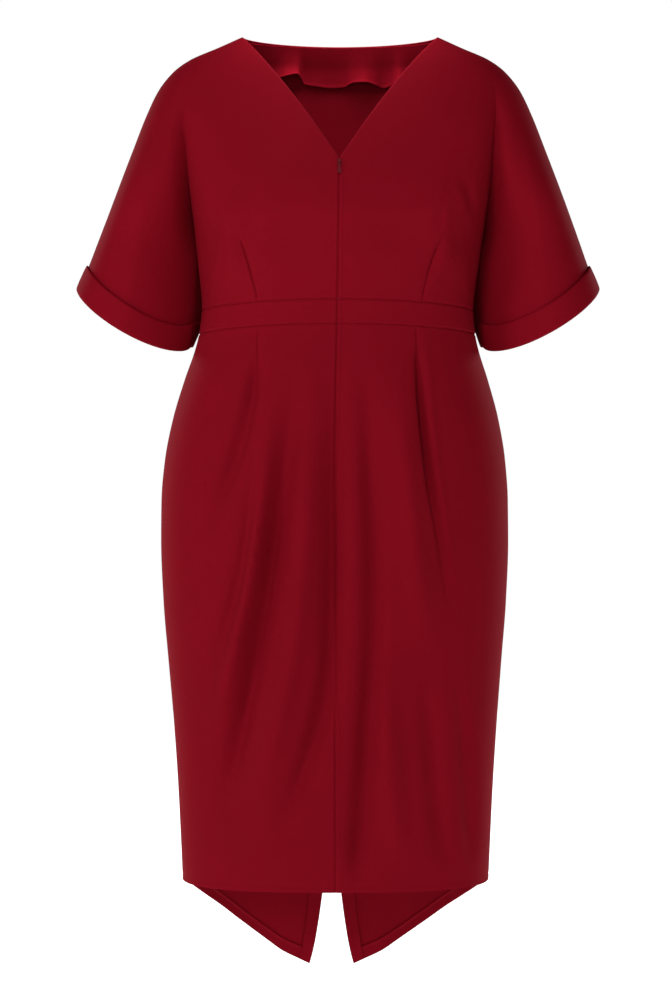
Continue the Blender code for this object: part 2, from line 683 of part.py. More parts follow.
def sleeve_ring(z):
    """The whole section of the left sleeve at body level z, from the underarm seam round the front."""
    front, back = (
        shared(bodice_lines(face, z)[1], SLEEVE_COLUMNS_ACROSS) * (1, OUTWARD[face], 1)
        for face in ("front", "back")
    )
    return np.concatenate([front, back[-2:0:-1]])


def cuff(side_name, side):
    """A turned-back cuff: it wraps the sleeve's edge and stands off the sleeve at its top."""
    edge, above = sleeve_ring(WAIST_TOP_Z + SEAM_GAP / 2), sleeve_ring(BODICE_LEVELS[-2])
    round_it = np.roll(edge, -1, axis=0) - np.roll(edge, 1, axis=0)
    round_it /= np.linalg.norm(round_it, axis=1, keepdims=True)
    up = above - edge
    up -= (up * round_it).sum(axis=1, keepdims=True) * round_it
    up /= np.linalg.norm(up, axis=1, keepdims=True)
    out = np.cross(up, round_it)
    if ((edge - edge.mean(axis=0)) * out).sum() < 0:
        out = -out
    top = CUFF_HEIGHT - CUFF_CLOTH - CUFF_GAP
    hem = -CUFF_GAP - CUFF_CLOTH
    in_leg = -CLOTH - CUFF_GAP
    profile = (  # up the sleeve, and out from its outer surface
        (hem, 0.0018),
        (hem + 0.0012, 0.0042),
        (top * 0.5, 0.0052),
        (top, CUFF_STANDS_OFF + CUFF_CLOTH),
        (top, CUFF_STANDS_OFF),
        (top * 0.5, 0.0018),
        (0.0010, CUFF_GAP),
        (-CUFF_GAP, CUFF_GAP),
        (-CUFF_GAP, in_leg),
        (0.0060, in_leg),
        (0.0060, in_leg - TAPE_CLOTH),
        (hem + 0.0010, in_leg - TAPE_CLOTH),
    )
    rings = [hung((edge + up * along + out * away) * (side, 1, 1)) for along, away in profile]
    mesh = bpy.data.meshes.new(f"cuff_{side_name}")
    built = bmesh.new()
    loops = [[built.verts.new(p) for p in ring] for ring in rings]
    for ring, following in zip(loops, loops[1:] + loops[:1]):
        for k in range(len(ring)):
            following_k = (k + 1) % len(ring)
            built.faces.new((ring[k], ring[following_k], following[following_k], following[k]))
    bmesh.ops.recalc_face_normals(built, faces=built.faces)
    built.to_mesh(mesh)
    built.free()
    return placed(f"cuff_{side_name}", mesh, CREPE)


def neck_facing():
    """The back neck facing hangs free inside the back, and its lower edge ripples."""
    places = np.array([row[0] for row in FACING])
    across = np.sort(np.concatenate([places, (places[1:] + places[:-1]) / 2]))
    edge_z = reading(FACING, FACING_COLUMNS, "edge_z", across)
    off = reading(FACING, FACING_COLUMNS, "off", across)
    cloth = Cloth()
    rows = []
    for down in np.linspace(0.0, 1.0, FACING_ROWS + 1):
        free = off * (FACING_LEAN * down + (1 - FACING_LEAN) * down ** FACING_CURL)
        heights = FACING_TOP_Z + (edge_z - FACING_TOP_Z) * down
        row = []
        for x, z, away in zip(across, heights, free):
            line = level_line("back", z, DENSE)
            y = np.interp(abs(x), line[:, 0], line[:, 1]) - CLOTH - FACING_GAP - away
            row.append((x, y, z + rise("back", 0.0, z)))
        rows.append(np.array(row))
    cloth.grid(rows)
    normals = cloth.normals(OUTWARD["back"]) * (1, 1, 0.2)
    normals /= np.linalg.norm(normals, axis=1, keepdims=True)
    wall("back_neck_facing", np.array(cloth.points), normals, cloth.loops, CREPE, TAPE_CLOTH)


# ---------------------------------------------------------------- zip

def zip_tape(side_name, side, bodice, band, skirt):
    """One tape of the zip, behind the first column of the three front panels."""
    parts = (
        (bodice, [r for r in bodice_rows("front", side)[0] if r[0][2] <= -V_DEPTH]),
        (bodice, bodice_rows("front", side)[1][1:]),
        (band, band_rows("front", side)),
        (skirt, [r for r in front_skirt_rows(side) if r[0][2] > ZIP_END_Z]),
    )
    found = [cloth.settled([row[:2] for row in rows]) for cloth, rows in parts]
    places, normals = (np.concatenate([grids[k] for grids in found]) for k in (0, 1))
    lying_inside(f"zip_tape_{side_name}", *shortened(places, normals, 0, 0.003), finish=TAPE)


def slider_frame():
    """Where the slider lies: its middle on the cloth, and its axes across, out and up the seam."""
    step = 0.004
    heights = (SLIDER_Z + step, SLIDER_Z, SLIDER_Z - step)
    above, place, below = (np.array([0.0, -body("front", z), z + rise("front", 0.0, z)]) for z in heights)
    up = (above - below) / np.linalg.norm(above - below)
    across = np.array([1.0, 0.0, 0.0])
    inward = np.cross(up, across)
    turn = Matrix((across, inward, up)).transposed().to_4x4()
    return Matrix.Translation(Vector(hung(place[None])[0])) @ turn


def bar_height():
    """The pull tab's bar over the cloth: its eye clears the face plate."""
    return SEAM_GAP + SLIDER_SIZE[1] + EYE_OUTER + SEAM_GAP


def box(size, centre):
    shape = bmesh.new()
    where = Matrix.Translation(centre) @ Matrix.Diagonal((*size, 1.0))
    bmesh.ops.create_cube(shape, size=1.0, matrix=where)
    return shape


def joined(name, shapes, place, finish):
    """Closed shapes made one body, and put in place."""
    base = None
    for number, shape in enumerate(shapes):
        mesh = bpy.data.meshes.new(f"{name}_{number}")
        bmesh.ops.recalc_face_normals(shape, faces=shape.faces)
        shape.to_mesh(mesh)
        shape.free()
        if base is None:
            base = placed(name, mesh, finish)
            base.matrix_world = place
            continue
        other = placed(f"{name}_join_{number}", mesh, finish)
        other.matrix_world = place
        other.hide_render = True
        other.display_type = "WIRE"
        union = base.modifiers.new(f"join_{number}", "BOOLEAN")
        union.operation = "UNION"
        union.solver = "EXACT"
        union.object = other
    return base


def zip_slider():
    """The slider's face plate lies on the seam; two posts carry the bar for the pull tab."""
    width, thick, length = SLIDER_SIZE
    plate = box((width, thick, length), (0, -SEAM_GAP - thick / 2, 0))
    bmesh.ops.bevel(plate, geom=plate.edges[:], offset=0.0003, segments=2, affect="EDGES")
    top = bar_height() + BAR_RADIUS + 0.0004
    low = SEAM_GAP + thick / 2
    posts = [
        box(
            (POST_WIDTH, top - low, POST_LENGTH),
            (side * (EYE_WIDTH / 2 + SEAM_GAP + POST_WIDTH / 2), -(top + low) / 2, 0),
        )
        for side in (-1, 1)
    ]
    bar = bmesh.new()
    across = Matrix.Translation((0, -bar_height(), 0)) @ Matrix.Rotation(math.pi / 2, 4, "Y")
    bmesh.ops.create_cone(
        bar, cap_ends=True, segments=ROUND_STEPS, radius1=BAR_RADIUS, radius2=BAR_RADIUS,
        depth=EYE_WIDTH + 2 * SEAM_GAP + POST_WIDTH, matrix=across,
    )
    joined("zip_slider", [plate, *posts, bar], slider_frame(), SLIDER_METAL)


def round_points(radius, start, end, steps):
    return [(radius * math.cos(a), radius * math.sin(a)) for a in np.linspace(start, end, steps)]


def pull_tab():
    """A drop-shaped tab on an eye; it hangs down the seam with its tip close to the cloth."""
    eye, blade = bmesh.new(), bmesh.new()
    turns = round_points(1.0, 0, 2 * math.pi, ROUND_STEPS + 1)[:-1]
    corners = ((-1, EYE_OUTER), (-1, EYE_INNER), (1, EYE_INNER), (1, EYE_OUTER))
    rings = [
        [eye.verts.new((side * EYE_WIDTH / 2, radius * y, radius * z)) for y, z in turns]
        for side, radius in corners
    ]
    for ring, following in zip(rings, rings[1:] + rings[:1]):
        for k in range(ROUND_STEPS):
            n = (k + 1) % ROUND_STEPS
            eye.faces.new((ring[k], ring[n], following[n], following[k]))
    low = -TAB_LENGTH + TAB_WIDTH / 2
    right = [(x, low + z) for x, z in round_points(TAB_WIDTH / 2, -math.pi / 2, 0, 7)]
    right += [(EYE_WIDTH / 2 + 0.0004, low / 2), (EYE_WIDTH / 2, -(EYE_INNER + EYE_OUTER) / 2)]
    outline = right + [(-x, z) for x, z in reversed(right[1:])]
    front, back = (
        [blade.verts.new((x, side * TAB_THICKNESS / 2, z)) for x, z in outline] for side in (-1, 1)
    )
    blade.faces.new(front)
    blade.faces.new(back[::-1])
    for k in range(len(outline)):
        n = (k + 1) % len(outline)
        blade.faces.new((front[n], front[k], back[k], back[n]))
    lean = math.asin((bar_height() - SEAM_GAP - TAB_THICKNESS) / TAB_LENGTH)
    hang = Matrix.Translation((0, -bar_height(), 0)) @ Matrix.Rotation(lean, 4, "X")
    joined("zip_pull_tab", [eye, blade], slider_frame() @ hang, SLIDER_METAL)


def main():
    for thing in list(bpy.data.objects):
        bpy.data.objects.remove(thing)
    for side_name, side in SIDES:
        bodice = front_bodice(side_name, side)
        band = front_band(side_name, side)
        skirt = front_skirt(side_name, side)
        zip_tape(side_name, side, bodice, band, skirt)
        back_skirt(side_name, side)
        cuff(side_name, side)
    back_bodice()
    back_band()
    neck_facing()
    zip_slider()
    pull_tab()


main()
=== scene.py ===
"""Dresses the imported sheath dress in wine-red crepe: its seams, darts, folds, cuffs, hems and zip.

It is laid out as a Blender 4.5 add-on and is run as a script. Every size is in metres. +Z is up,
the front faces -Y, and the wearer's left is +X.
"""

import math

import bpy
import numpy as np
from bpy.props import FloatProperty, FloatVectorProperty, IntProperty, PointerProperty
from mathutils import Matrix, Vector


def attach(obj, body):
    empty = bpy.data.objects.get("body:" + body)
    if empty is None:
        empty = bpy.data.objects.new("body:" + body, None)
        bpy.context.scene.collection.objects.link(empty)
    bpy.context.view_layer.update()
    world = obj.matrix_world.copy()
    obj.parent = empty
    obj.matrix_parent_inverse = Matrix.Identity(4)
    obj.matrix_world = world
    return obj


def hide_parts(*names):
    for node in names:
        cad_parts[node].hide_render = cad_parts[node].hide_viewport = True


bl_info = {
    "name": "Sheath Dress",
    "version": (1, 0, 0),
    "blender": (4, 5, 0),
    "location": "3D View > Sidebar > Dress",
    "description": "Cloth, seams, folds and zip of a sheath dress, on its packed solids",
    "category": "Add Mesh",
}

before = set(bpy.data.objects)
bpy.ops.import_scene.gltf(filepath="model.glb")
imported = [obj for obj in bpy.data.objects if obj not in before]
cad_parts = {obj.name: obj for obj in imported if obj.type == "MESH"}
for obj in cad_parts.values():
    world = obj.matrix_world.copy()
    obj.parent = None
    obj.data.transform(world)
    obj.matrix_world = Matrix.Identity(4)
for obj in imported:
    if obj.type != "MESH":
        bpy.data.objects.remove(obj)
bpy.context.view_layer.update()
SIDES = (("left", 1), ("right", -1))
OUTWARD = {"front": -1, "back": 1}

# ---------------------------------------------------------------- the dress's own sizes

SHOULDER_NECK_X = 0.1235
V_DEPTH = 0.168
V_BOW = 0.0045
BACK_NECK_DIP = 0.003
WAIST_TOP_Z = -0.349
WAIST_BOTTOM_Z = -0.3786
WAIST_RISE = 0.0070
FRONT_HEM_Z = -1.069
HEM_CORNER_RISE = 0.0026  # the front hem climbs this far to the side seams
HEM_ALLOWANCE = 0.0150
SPLIT_TOP_Z = -0.917
SPLIT_LEAN = -0.0050  # the split hangs this far towards the wearer's right
SPLIT_FACING = 0.0128
TAIL_HALF_GAP, TIP_FLARE = 0.0262, 0.0030
ZIP_END_Z = -0.6200
SLIDER_Z = -0.1745

# The sleeve: where it ends, how far its mouth drops in the middle, and how round its ring is
UNDERARM_Z = -0.285
SLEEVE_END_Z = -0.3895
SLEEVE_DROP = {"front": 0.0262, "back": 0.003}
SLEEVE_PEAK = {"front": 0.60, "back": 0.50}
SLEEVE_INNER_POWER = {"front": 1.4, "back": 2.6}
SLEEVE_OUTER_POWER = 2.2
ABOVE_CUFF_Z = -0.326
# Under the arm the back of the sleeve leans in this far, and below the fade it keeps only a share
SLEEVE_HUG = {"front": 0.000, "back": 0.040}
HUG_FULL_Z = -0.297
HUG_FADE_Z = -0.332
HUG_LEFT = 0.38
# The fold between body and sleeve: it pulls the cloth in over PARTING to each side, and its depth
# is a share of the way to the parted body and sleeve
FOLD_START_Z = -0.050
FOLD_ROUNDING = 0.0055
PARTING = 0.015
FOLD_DEPTH = 0.17

# Shift of the whole dress towards the wearer's left: z, shift
HANG = (
    (0.0, 0.0),
    (-0.06, -0.001),
    (-0.2, -0.001),
    (-0.3, -0.0022),
    (-0.45, -0.005),
    (-0.6, -0.0068),
    (-0.75, -0.0066),
    (-0.9, -0.0058),
    (-1.07, -0.0056),
    (-1.2, -0.006),
)
# Drop of the back hem below the front one: share of the half width, drop
BACK_HEM = (
    (1.0, 0.0),
    (0.99, 0.006),
    (0.961, 0.0142),
    (0.93, 0.0205),
    (0.858, 0.0325),
    (0.767, 0.0465),
    (0.632, 0.068),
    (0.444, 0.0958),
    (0.345, 0.1094),
    (0.2, 0.1228),
    (0.15, 0.1272),
)
TAIL_Z = FRONT_HEM_Z - BACK_HEM[-1][1]

BODY_COLUMNS = ("z", "half_width", "front", "back", "power")
BODY = (
    (0.0, 0.1235, 0.022, 0.055, 2.0),
    (-0.015, 0.145, 0.042, 0.066, 2.0),
    (-0.03, 0.171, 0.054, 0.076, 2.05),
    (-0.045, 0.186, 0.063, 0.083, 2.1),
    (-0.07, 0.195, 0.075, 0.093, 2.15),
    (-0.105, 0.1955, 0.09, 0.104, 2.25),
    (-0.15, 0.192, 0.106, 0.113, 2.35),
    (-0.2, 0.188, 0.123, 0.118, 2.45),
    (-0.24, 0.184, 0.131, 0.117, 2.5),
    (-0.285, 0.1785, 0.129, 0.11, 2.5),
    (-0.349, 0.172, 0.12, 0.099, 2.45),
    (-0.3786, 0.175, 0.119, 0.1, 2.45),
    (-0.4, 0.18, 0.121, 0.105, 2.45),
    (-0.436, 0.192, 0.126, 0.118, 2.4),
    (-0.486, 0.2062, 0.131, 0.134, 2.35),
    (-0.537, 0.2155, 0.134, 0.145, 2.3),
    (-0.588, 0.2195, 0.135, 0.15, 2.3),
    (-0.639, 0.22, 0.134, 0.149, 2.3),
    (-0.715, 0.217, 0.131, 0.142, 2.35),
    (-0.791, 0.2108, 0.1275, 0.134, 2.4),
    (-0.868, 0.2045, 0.124, 0.127, 2.45),
    (-0.944, 0.1995, 0.121, 0.121, 2.5),
    (-1.02, 0.1958, 0.118, 0.116, 2.5),
    (-1.07, 0.1937, 0.1165, 0.114, 2.45),
    (-1.2, 0.189, 0.112, 0.11, 2.5),
)
SLEEVE_COLUMNS = ("z", "inner_x", "outer_x", "outer_z", "front", "back")
SLEEVE = (
    (0.0, 0.1235, 0.1235, 0.0, 0.02, 0.02),
    (-0.015, 0.145, 0.156, -0.015, 0.03, 0.03),
    (-0.03, 0.171, 0.19, -0.03, 0.038, 0.038),
    (-0.045, 0.186, 0.2105, -0.045, 0.043, 0.043),
    (-0.07, 0.195, 0.2295, -0.069, 0.049, 0.049),
    (-0.105, 0.1955, 0.245, -0.102, 0.055, 0.054),
    (-0.15, 0.192, 0.261, -0.144, 0.06, 0.057),
    (-0.2, 0.188, 0.2775, -0.188, 0.062, 0.059),
    (-0.24, 0.184, 0.2905, -0.222, 0.063, 0.06),
    (-0.285, 0.1785, 0.305, -0.26, 0.063, 0.06),
    (-0.315, 0.1795, 0.315, -0.287, 0.062, 0.059),
    (-0.334, 0.1815, 0.3215, -0.304, 0.061, 0.058),
    (-0.349, 0.1876, 0.3275, -0.318, 0.06, 0.057),
)

# Soft folds: a ridge (+) or a trough (-) of that height runs through three points; "start" and
# "end" say over what share of its length it rises and fades
FOLD_COLUMNS = (
    "face", "top_x", "top_z", "mid_x", "mid_z", "low_x", "low_z", "spread", "height", "start",
    "end",
)
FOLDS = (
    # bodice: fullness over the bust and drag lines towards the underarm
    ("front", -0.136, -0.19, -0.132, -0.255, -0.15, -0.33, 0.018, 0.0045, 0.45, 0.35),
    ("front", 0.133, -0.18, 0.126, -0.255, 0.148, -0.33, 0.018, 0.005, 0.45, 0.35),
    ("front", -0.065, -0.19, -0.056, -0.235, -0.07, -0.32, 0.03, -0.003, 0.45, 0.45),
    ("front", 0.055, -0.19, 0.065, -0.24, 0.072, -0.32, 0.03, -0.0025, 0.45, 0.45),
    ("front", -0.1297, -0.215, -0.145, -0.27, -0.16, -0.352, 0.0032, 0.0009, 0.3, 0.3),
    ("front", 0.1455, -0.225, 0.154, -0.28, 0.164, -0.35, 0.0032, 0.001, 0.3, 0.3),
    ("front", 0.156, -0.185, 0.163, -0.215, 0.17, -0.25, 0.006, -0.0028, 0.5, 0.5),
    ("front", 0.142, -0.19, 0.148, -0.212, 0.152, -0.24, 0.006, 0.0024, 0.5, 0.5),
    ("front", 0.133, -0.205, 0.124, -0.235, 0.115, -0.275, 0.006, -0.0024, 0.5, 0.5),
    # skirt, wearer's right
    ("front", -0.094, -0.395, -0.117, -0.515, -0.168, -0.65, 0.0105, -0.0105, 0.25, 0.45),
    ("front", -0.088, -0.48, -0.111, -0.661, -0.164, -0.835, 0.009, -0.007, 0.45, 0.4),
    ("front", -0.076, -0.43, -0.1, -0.661, -0.156, -0.9, 0.0105, 0.011, 0.45, 0.35),
    ("front", -0.043, -0.385, -0.0766, -0.661, -0.1487, -1.01, 0.013, -0.018, 0.45, 0.3),
    ("front", -0.025, -0.39, -0.042, -0.7, -0.1092, -1.02, 0.0165, 0.0135, 0.45, 0.3),
    ("front", 0.003, -0.385, -0.006, -0.771, -0.0827, -1.045, 0.0125, -0.015, 0.45, 0.3),
    # skirt, wearer's left
    ("front", 0.035, -0.384, 0.048, -0.68, 0.0242, -1.069, 0.0125, -0.0145, 0.4, 0.1),
    ("front", 0.072, -0.39, 0.096, -0.64, 0.118, -0.8, 0.018, 0.0115, 0.45, 0.4),
    ("front", 0.056, -0.76, 0.065, -0.894, 0.077, -1.05, 0.015, 0.0075, 0.4, 0.3),
    ("front", 0.112, -0.78, 0.118, -0.894, 0.134, -1.05, 0.0105, -0.0075, 0.4, 0.3),
    ("front", 0.152, -0.79, 0.161, -0.894, 0.17, -1.05, 0.0085, -0.0055, 0.4, 0.3),
    # back: drape let go by the darts
    ("back", -0.13, -0.56, -0.118, -0.78, -0.132, -1.0, 0.024, -0.005, 0.4, 0.4),
    ("back", 0.125, -0.6, 0.115, -0.8, 0.13, -1.02, 0.024, -0.0055, 0.4, 0.4),
    ("back", -0.056, -0.64, -0.06, -0.84, -0.072, -1.06, 0.02, 0.0042, 0.4, 0.4),
    ("back", 0.06, -0.62, 0.064, -0.84, 0.07, -1.06, 0.02, 0.004, 0.4, 0.4),
    ("back", -0.05, -0.1, -0.07, -0.17, -0.11, -0.24, 0.02, 0.0025, 0.45, 0.45),
    ("back", 0.048, -0.11, 0.072, -0.18, 0.11, -0.25, 0.02, 0.0022, 0.45, 0.45),
)

# The line of the dart in each panel, from its own centre seam, and how its cloth lies there:
# a crisp line, a soft hollow beyond it, and a ridge further out
DART_COLUMNS = ("z", "x", "crisp", "hollow", "ridge")
DARTS = {
    ("bodice", "front", "left"): (
        (-0.256, 0.129, 0.0, 0.0, 0.0),
        (-0.268, 0.125, 0.0006, 0.0012, 0.0008),
        (-0.279, 0.1207, 0.0016, 0.0022, 0.002),
        (-0.2972, 0.115, 0.0021, 0.0012, 0.002),
        (-0.32, 0.109, 0.0018, 0.0004, 0.0012),
        (-0.3412, 0.1045, 0.0015, 0.0, 0.0006),
    ),
    ("bodice", "front", "right"): (
        (-0.258, 0.1242, 0.0, 0.0, 0.0),
        (-0.268, 0.1212, 0.0008, 0.001, 0.001),
        (-0.276, 0.1188, 0.0019, 0.0016, 0.0018),
        (-0.2972, 0.1128, 0.0024, 0.001, 0.0016),
        (-0.34, 0.1003, 0.0017, 0.0, 0.0006),
    ),
    ("bodice", "back", "left"): (
        (-0.17, 0.098, 0.0, 0.0, 0.0),
        (-0.215, 0.0955, 0.0006, 0.0006, 0.0006),
        (-0.29, 0.09, 0.0013, 0.0008, 0.001),
        (-0.349, 0.086, 0.0013, 0.0, 0.0004),
    ),
    ("skirt", "front", "left"): (
        (-0.3786, 0.0972, 0.0012, 0.0, 0.0004),
        (-0.4, 0.0984, 0.0015, 0.001, 0.0006),
        (-0.4231, 0.0997, 0.0018, 0.005, 0.0014),
        (-0.4659, 0.1028, 0.0022, 0.0105, 0.002),
        (-0.5148, 0.1083, 0.0016, 0.013, 0.0024),
        (-0.5637, 0.115, 0.0008, 0.011, 0.0022),
        (-0.6126, 0.1239, 0.0, 0.0065, 0.0012),
        (-0.72, 0.14, 0.0, 0.0, 0.0),
    ),
    ("skirt", "front", "right"): (
        (-0.3786, 0.0975, 0.001, 0.0, 0.0),
        (-0.4, 0.0978, 0.0012, 0.0006, 0.0006),
        (-0.4231, 0.0984, 0.001, 0.0012, 0.001),
        (-0.4659, 0.1026, 0.0004, 0.0014, 0.001),
        (-0.5148, 0.1069, 0.0, 0.0006, 0.0004),
        (-0.56, 0.112, 0.0, 0.0, 0.0),
    ),
    ("skirt", "back", "left"): (
        (-0.3786, 0.086, 0.0013, 0.0, 0.0),
        (-0.44, 0.09, 0.0013, 0.0008, 0.0006),
        (-0.5, 0.095, 0.0005, 0.001, 0.0006),
        (-0.55, 0.098, 0.0, 0.0, 0.0),
    ),
}
DARTS["bodice", "back", "right"] = DARTS["bodice", "back", "left"]
DARTS["skirt", "back", "right"] = DARTS["skirt", "back", "left"]
CRISP_WIDTH, HOLLOW_WIDTH, RIDGE_WIDTH = 0.0011, 0.0075, 0.0060
HOLLOW_EDGE = 0.0040  # the hollow is steep on its inner side
RIDGE_AWAY = 0.0120

# How seams, pressed edges and stitches shape the cloth
SEAM_DEPTH, SEAM_WIDTH = 0.0013, 0.0013
HEM_LINE, HEM_LINE_DEPTH, HEM_LINE_WIDTH = 0.0075, 0.00045, 0.0014  # the stitches pull it in
BAND_LINE, BAND_LINE_DEPTH, BAND_LINE_WIDTH = 0.0048, 0.00035, 0.0009
BAND_LIFT = 0.00025
# How far beside the seam the zip's tape raises the cloth, how high and how widely
ZIP_BULK = {"left": (0.0030, 0.00075, 0.0014), "right": (0.0034, 0.00035, 0.0014)}
EDGE_LAP = 0.00004  # the halves run this far over the seam so that no light passes

# Steps and counts of the mesh
CREASE_STEPS = np.array((0.0004, 0.0009, 0.0015, 0.0023, 0.0034, 0.0049, 0.0068))  # beside a seam
SHOULDER_LEVELS = (0.0, -0.0012, -0.003, -0.0055, -0.0085, *np.linspace(-0.012, -0.045, 14))
DENSE = 180  # points of half a section before it is sampled
BODICE_COUNTS, SLEEVE_COUNT = (22, 18), 40
BAND_COUNTS, BAND_PITCH = (28, 34), 0.0022
FRONT_SKIRT_COUNTS, FRONT_SKIRT_PITCH = (26, 44), 0.0042
BACK_SKIRT_COUNTS, BACK_SKIRT_PITCH = (22, 34), 0.0048
CUFF_COUNT = 120
SHARP_ANGLE = math.radians(55)

# The zip's tapes, coil and seam: places across a tape, and how far the parts lie under the cloth
TAPE_SPOTS = np.array([0.0006, 0.0014, 0.003, 0.006, 0.0095, 0.0122])
TAPE_SEWN_AT = 4
TAPE_THICKNESS, TAPE_GAP = 0.0008, 0.0003
COIL_INSET, STITCH_INSET = 0.0026, 0.00115
LINE_STEP = 0.004

# The studio: lights are discs that point at a target, with the power that the user sets
CAMERA_PLACE, SENSOR_HEIGHT = (-0.00508, -3.2, -0.593), 36.0
FLOOR_Z, FLOOR_RADIUS, FLOOR_SIDES = -1.262, 5.0, 64
# Painted glow of the floor paper: weakest within the first distance of this spot in front of the
# dress, full beyond the second
PAINTED_GLOW_LOW_AT, PAINTED_GLOW_LOW_WITHIN, PAINTED_GLOW_FULL_BEYOND = (0.0, -1.1, FLOOR_Z), 0.2, 1.3
LIGHTS = (  # name, place, target, size, power
    ("key_light", (-2.9, -1.9, 0.30), (0.0, 0.0, -0.6), 0.8, "key_power"),
    ("neck_light", (0.0, -0.03, 0.11), (0.0, 0.11, -0.09), 0.12, "neck_power"),
    ("top_light", (-0.30, -1.25, 0.85), (0.0, 0.05, -0.08), 0.4, "top_power"),
    ("back_light_left", (-2.6, 2.6, 0.6), (0.0, 0.0, -0.6), 1.2, "back_power"),
    ("back_light_right", (2.6, 2.4, 0.3), (0.0, 0.0, -0.6), 1.2, "back_power"),
    ("fill_light", (-0.15, -3.5, 0.30), (0.0, 0.0, -0.45), 1.2, "fill_power"),
)

# Free edge of the back neck facing: where, how low, and how far off the back it stands
FACING_COLUMNS = ("x", "edge_z", "off")
FACING = (
    (-0.1185, -0.0414, 0.001),
    (-0.0955, -0.0447, 0.005),
    (-0.0773, -0.0419, 0.015),
    (-0.0672, -0.0398, 0.019),
    (-0.0547, -0.0369, 0.017),
    (-0.0508, -0.0402, 0.009),
    (-0.0464, -0.0469, 0.003),
    (-0.0285, -0.0499, 0.004),
    (-0.0129, -0.0515, 0.0025),
    (0.0066, -0.0506, 0.004),
    (0.0196, -0.046, 0.01),
    (0.0325, -0.0459, 0.0125),
    (0.0455, -0.0485, 0.008),
    (0.0573, -0.052, 0.0025),
    (0.0676, -0.0502, 0.006),
    (0.0776, -0.044, 0.015),
    (0.0956, -0.0449, 0.006),
    (0.1186, -0.0433, 0.001),
)


# ---------------------------------------------------------------- curves and tables

def smooth(xs, ys, x):
    """The value at x of a smooth curve through the points (xs, ys), with no overshoot."""
    xs, ys = np.asarray(xs, float), np.asarray(ys, float)
    if xs[0] > xs[-1]:
        xs, ys = xs[::-1], ys[::-1]
    step = np.diff(xs)
    slope = np.diff(ys) / step
    before, after = slope[:-1], slope[1:]
    agree = before * after > 0
    mean = np.where(agree, 2 * before * after / np.where(agree, before + after, 1.0), 0.0)
    tangent = np.concatenate([slope[:1], mean, slope[-1:]])
    i = np.clip(np.searchsorted(xs, x) - 1, 0, len(xs) - 2)
    u = np.clip((x - xs[i]) / step[i], 0.0, 1.0)
    near, far = (1 + 2 * u) * (1 - u) ** 2, u * u * (3 - 2 * u)
    bend = u * (1 - u) * step[i] * ((1 - u) * tangent[i] - u * tangent[i + 1])
    return near * ys[i] + far * ys[i + 1] + bend


def reading(table, names, name, at):
    """A named column of a table, read where the first column has the value at."""
    listed = list(zip(*table))
    return smooth(listed[0], listed[names.index(name)], at)


def body(name, z):
    return reading(BODY, BODY_COLUMNS, name, z)


def sleeve(name, z):
    return reading(SLEEVE, SLEEVE_COLUMNS, name, z)


def ease(u):
    """0 up to 0, 1 from 1, and smooth between."""
    u = np.clip(u, 0.0, 1.0)
    return u * u * (3 - 2 * u)


def bell(distance, width):
    return np.exp(-((distance / width) ** 2))


def along(points):
    """How far along a line of points each one lies."""
    return np.concatenate([[0.0], np.cumsum(np.linalg.norm(np.diff(points, axis=0), axis=1))])


def sampled(points, at):
    """Points at these distances along a line of points."""
    reach = along(points)
    return np.stack([np.interp(at, reach, points[:, k]) for k in range(points.shape[1])], axis=1)


def between(length, count):
    """Distances from 0 up to a length, without its end: close together at both ends."""
    near = CREASE_STEPS * min(1.0, length / (3.2 * CREASE_STEPS[-1]))
    middle = np.linspace(near[-1], length - near[-1], count)
    return np.concatenate([[0.0], near[:-1], middle, length - near[:-1][::-1]])


def columns(total, mark, counts):
    """Distances from 0 to a total, close together at both ends and beside the mark."""
    near = between(mark, counts[0])
    far = mark + between(total - mark, counts[1])
    return np.concatenate([near, far, [total]])


def levels(top, bottom, pitch):
    """Heights from top to bottom, close together at both ends."""
    length = top - bottom
    return top - np.concatenate([between(length, int(length / pitch)), [length]])


def fold_height(face, x, z):
    """How far the soft folds lift the cloth at a place seen from its own face."""
    height = np.zeros(np.broadcast(x, z).shape)
    for row in FOLDS:
        fold = dict(zip(FOLD_COLUMNS, row))
        if fold["face"] != face:
            continue
        heights = (fold["top_z"], fold["mid_z"], fold["low_z"])
        line = smooth(heights, (fold["top_x"], fold["mid_x"], fold["low_x"]), z)
        down = (fold["top_z"] - z) / (fold["top_z"] - fold["low_z"])
        strength = ease(down / fold["start"]) * ease((1 - down) / fold["end"])
        height = height + fold["height"] * strength * bell(x - line, fold["spread"])
    return height


def dart_x(part, face, side_name, z):
    table = DARTS[part, face, side_name]
    return reading(table, DART_COLUMNS, "x", z)


def dart_height(part, face, side_name, off, z):
    """How the dart lifts the cloth at a distance off its line, outwards."""
    table = DARTS[part, face, side_name]
    inside = ease((table[0][0] + 0.002 - z) / 0.002) * ease((z - table[-1][0] + 0.002) / 0.002)
    crisp, hollow, ridge = (reading(table, DART_COLUMNS, name, z) for name in DART_COLUMNS[2:])
    soft = np.where(off < 0, bell(off, HOLLOW_EDGE), bell(off, HOLLOW_WIDTH))
    height = -crisp * bell(off, CRISP_WIDTH) - hollow * soft
    return (height + ridge * bell(off - RIDGE_AWAY, RIDGE_WIDTH)) * inside


# ---------------------------------------------------------------- the surface of the dress

def neck_x(z):
    """Half the width of the V at height z."""
    down = min(1.0, -z / V_DEPTH)
    return SHOULDER_NECK_X * (1 - down) - V_BOW * math.sin(math.pi * down)


def rise(face, x_share, z):
    """How far a level line of the body climbs; x_share is 0 at its centre and 1 at its side."""
    waist = ease((z + 0.20) / (WAIST_TOP_Z + 0.20)) * ease((z + 0.60) / (WAIST_BOTTOM_Z + 0.60))
    neck = ease((z + 0.05) / 0.05)
    climb = WAIST_RISE * waist if face == "front" else -BACK_NECK_DIP * neck
    corner = HEM_CORNER_RISE * ease((z + 0.9) / (FRONT_HEM_Z + 0.9)) * np.abs(x_share) ** 9
    return climb * (1 - x_share * x_share) + corner


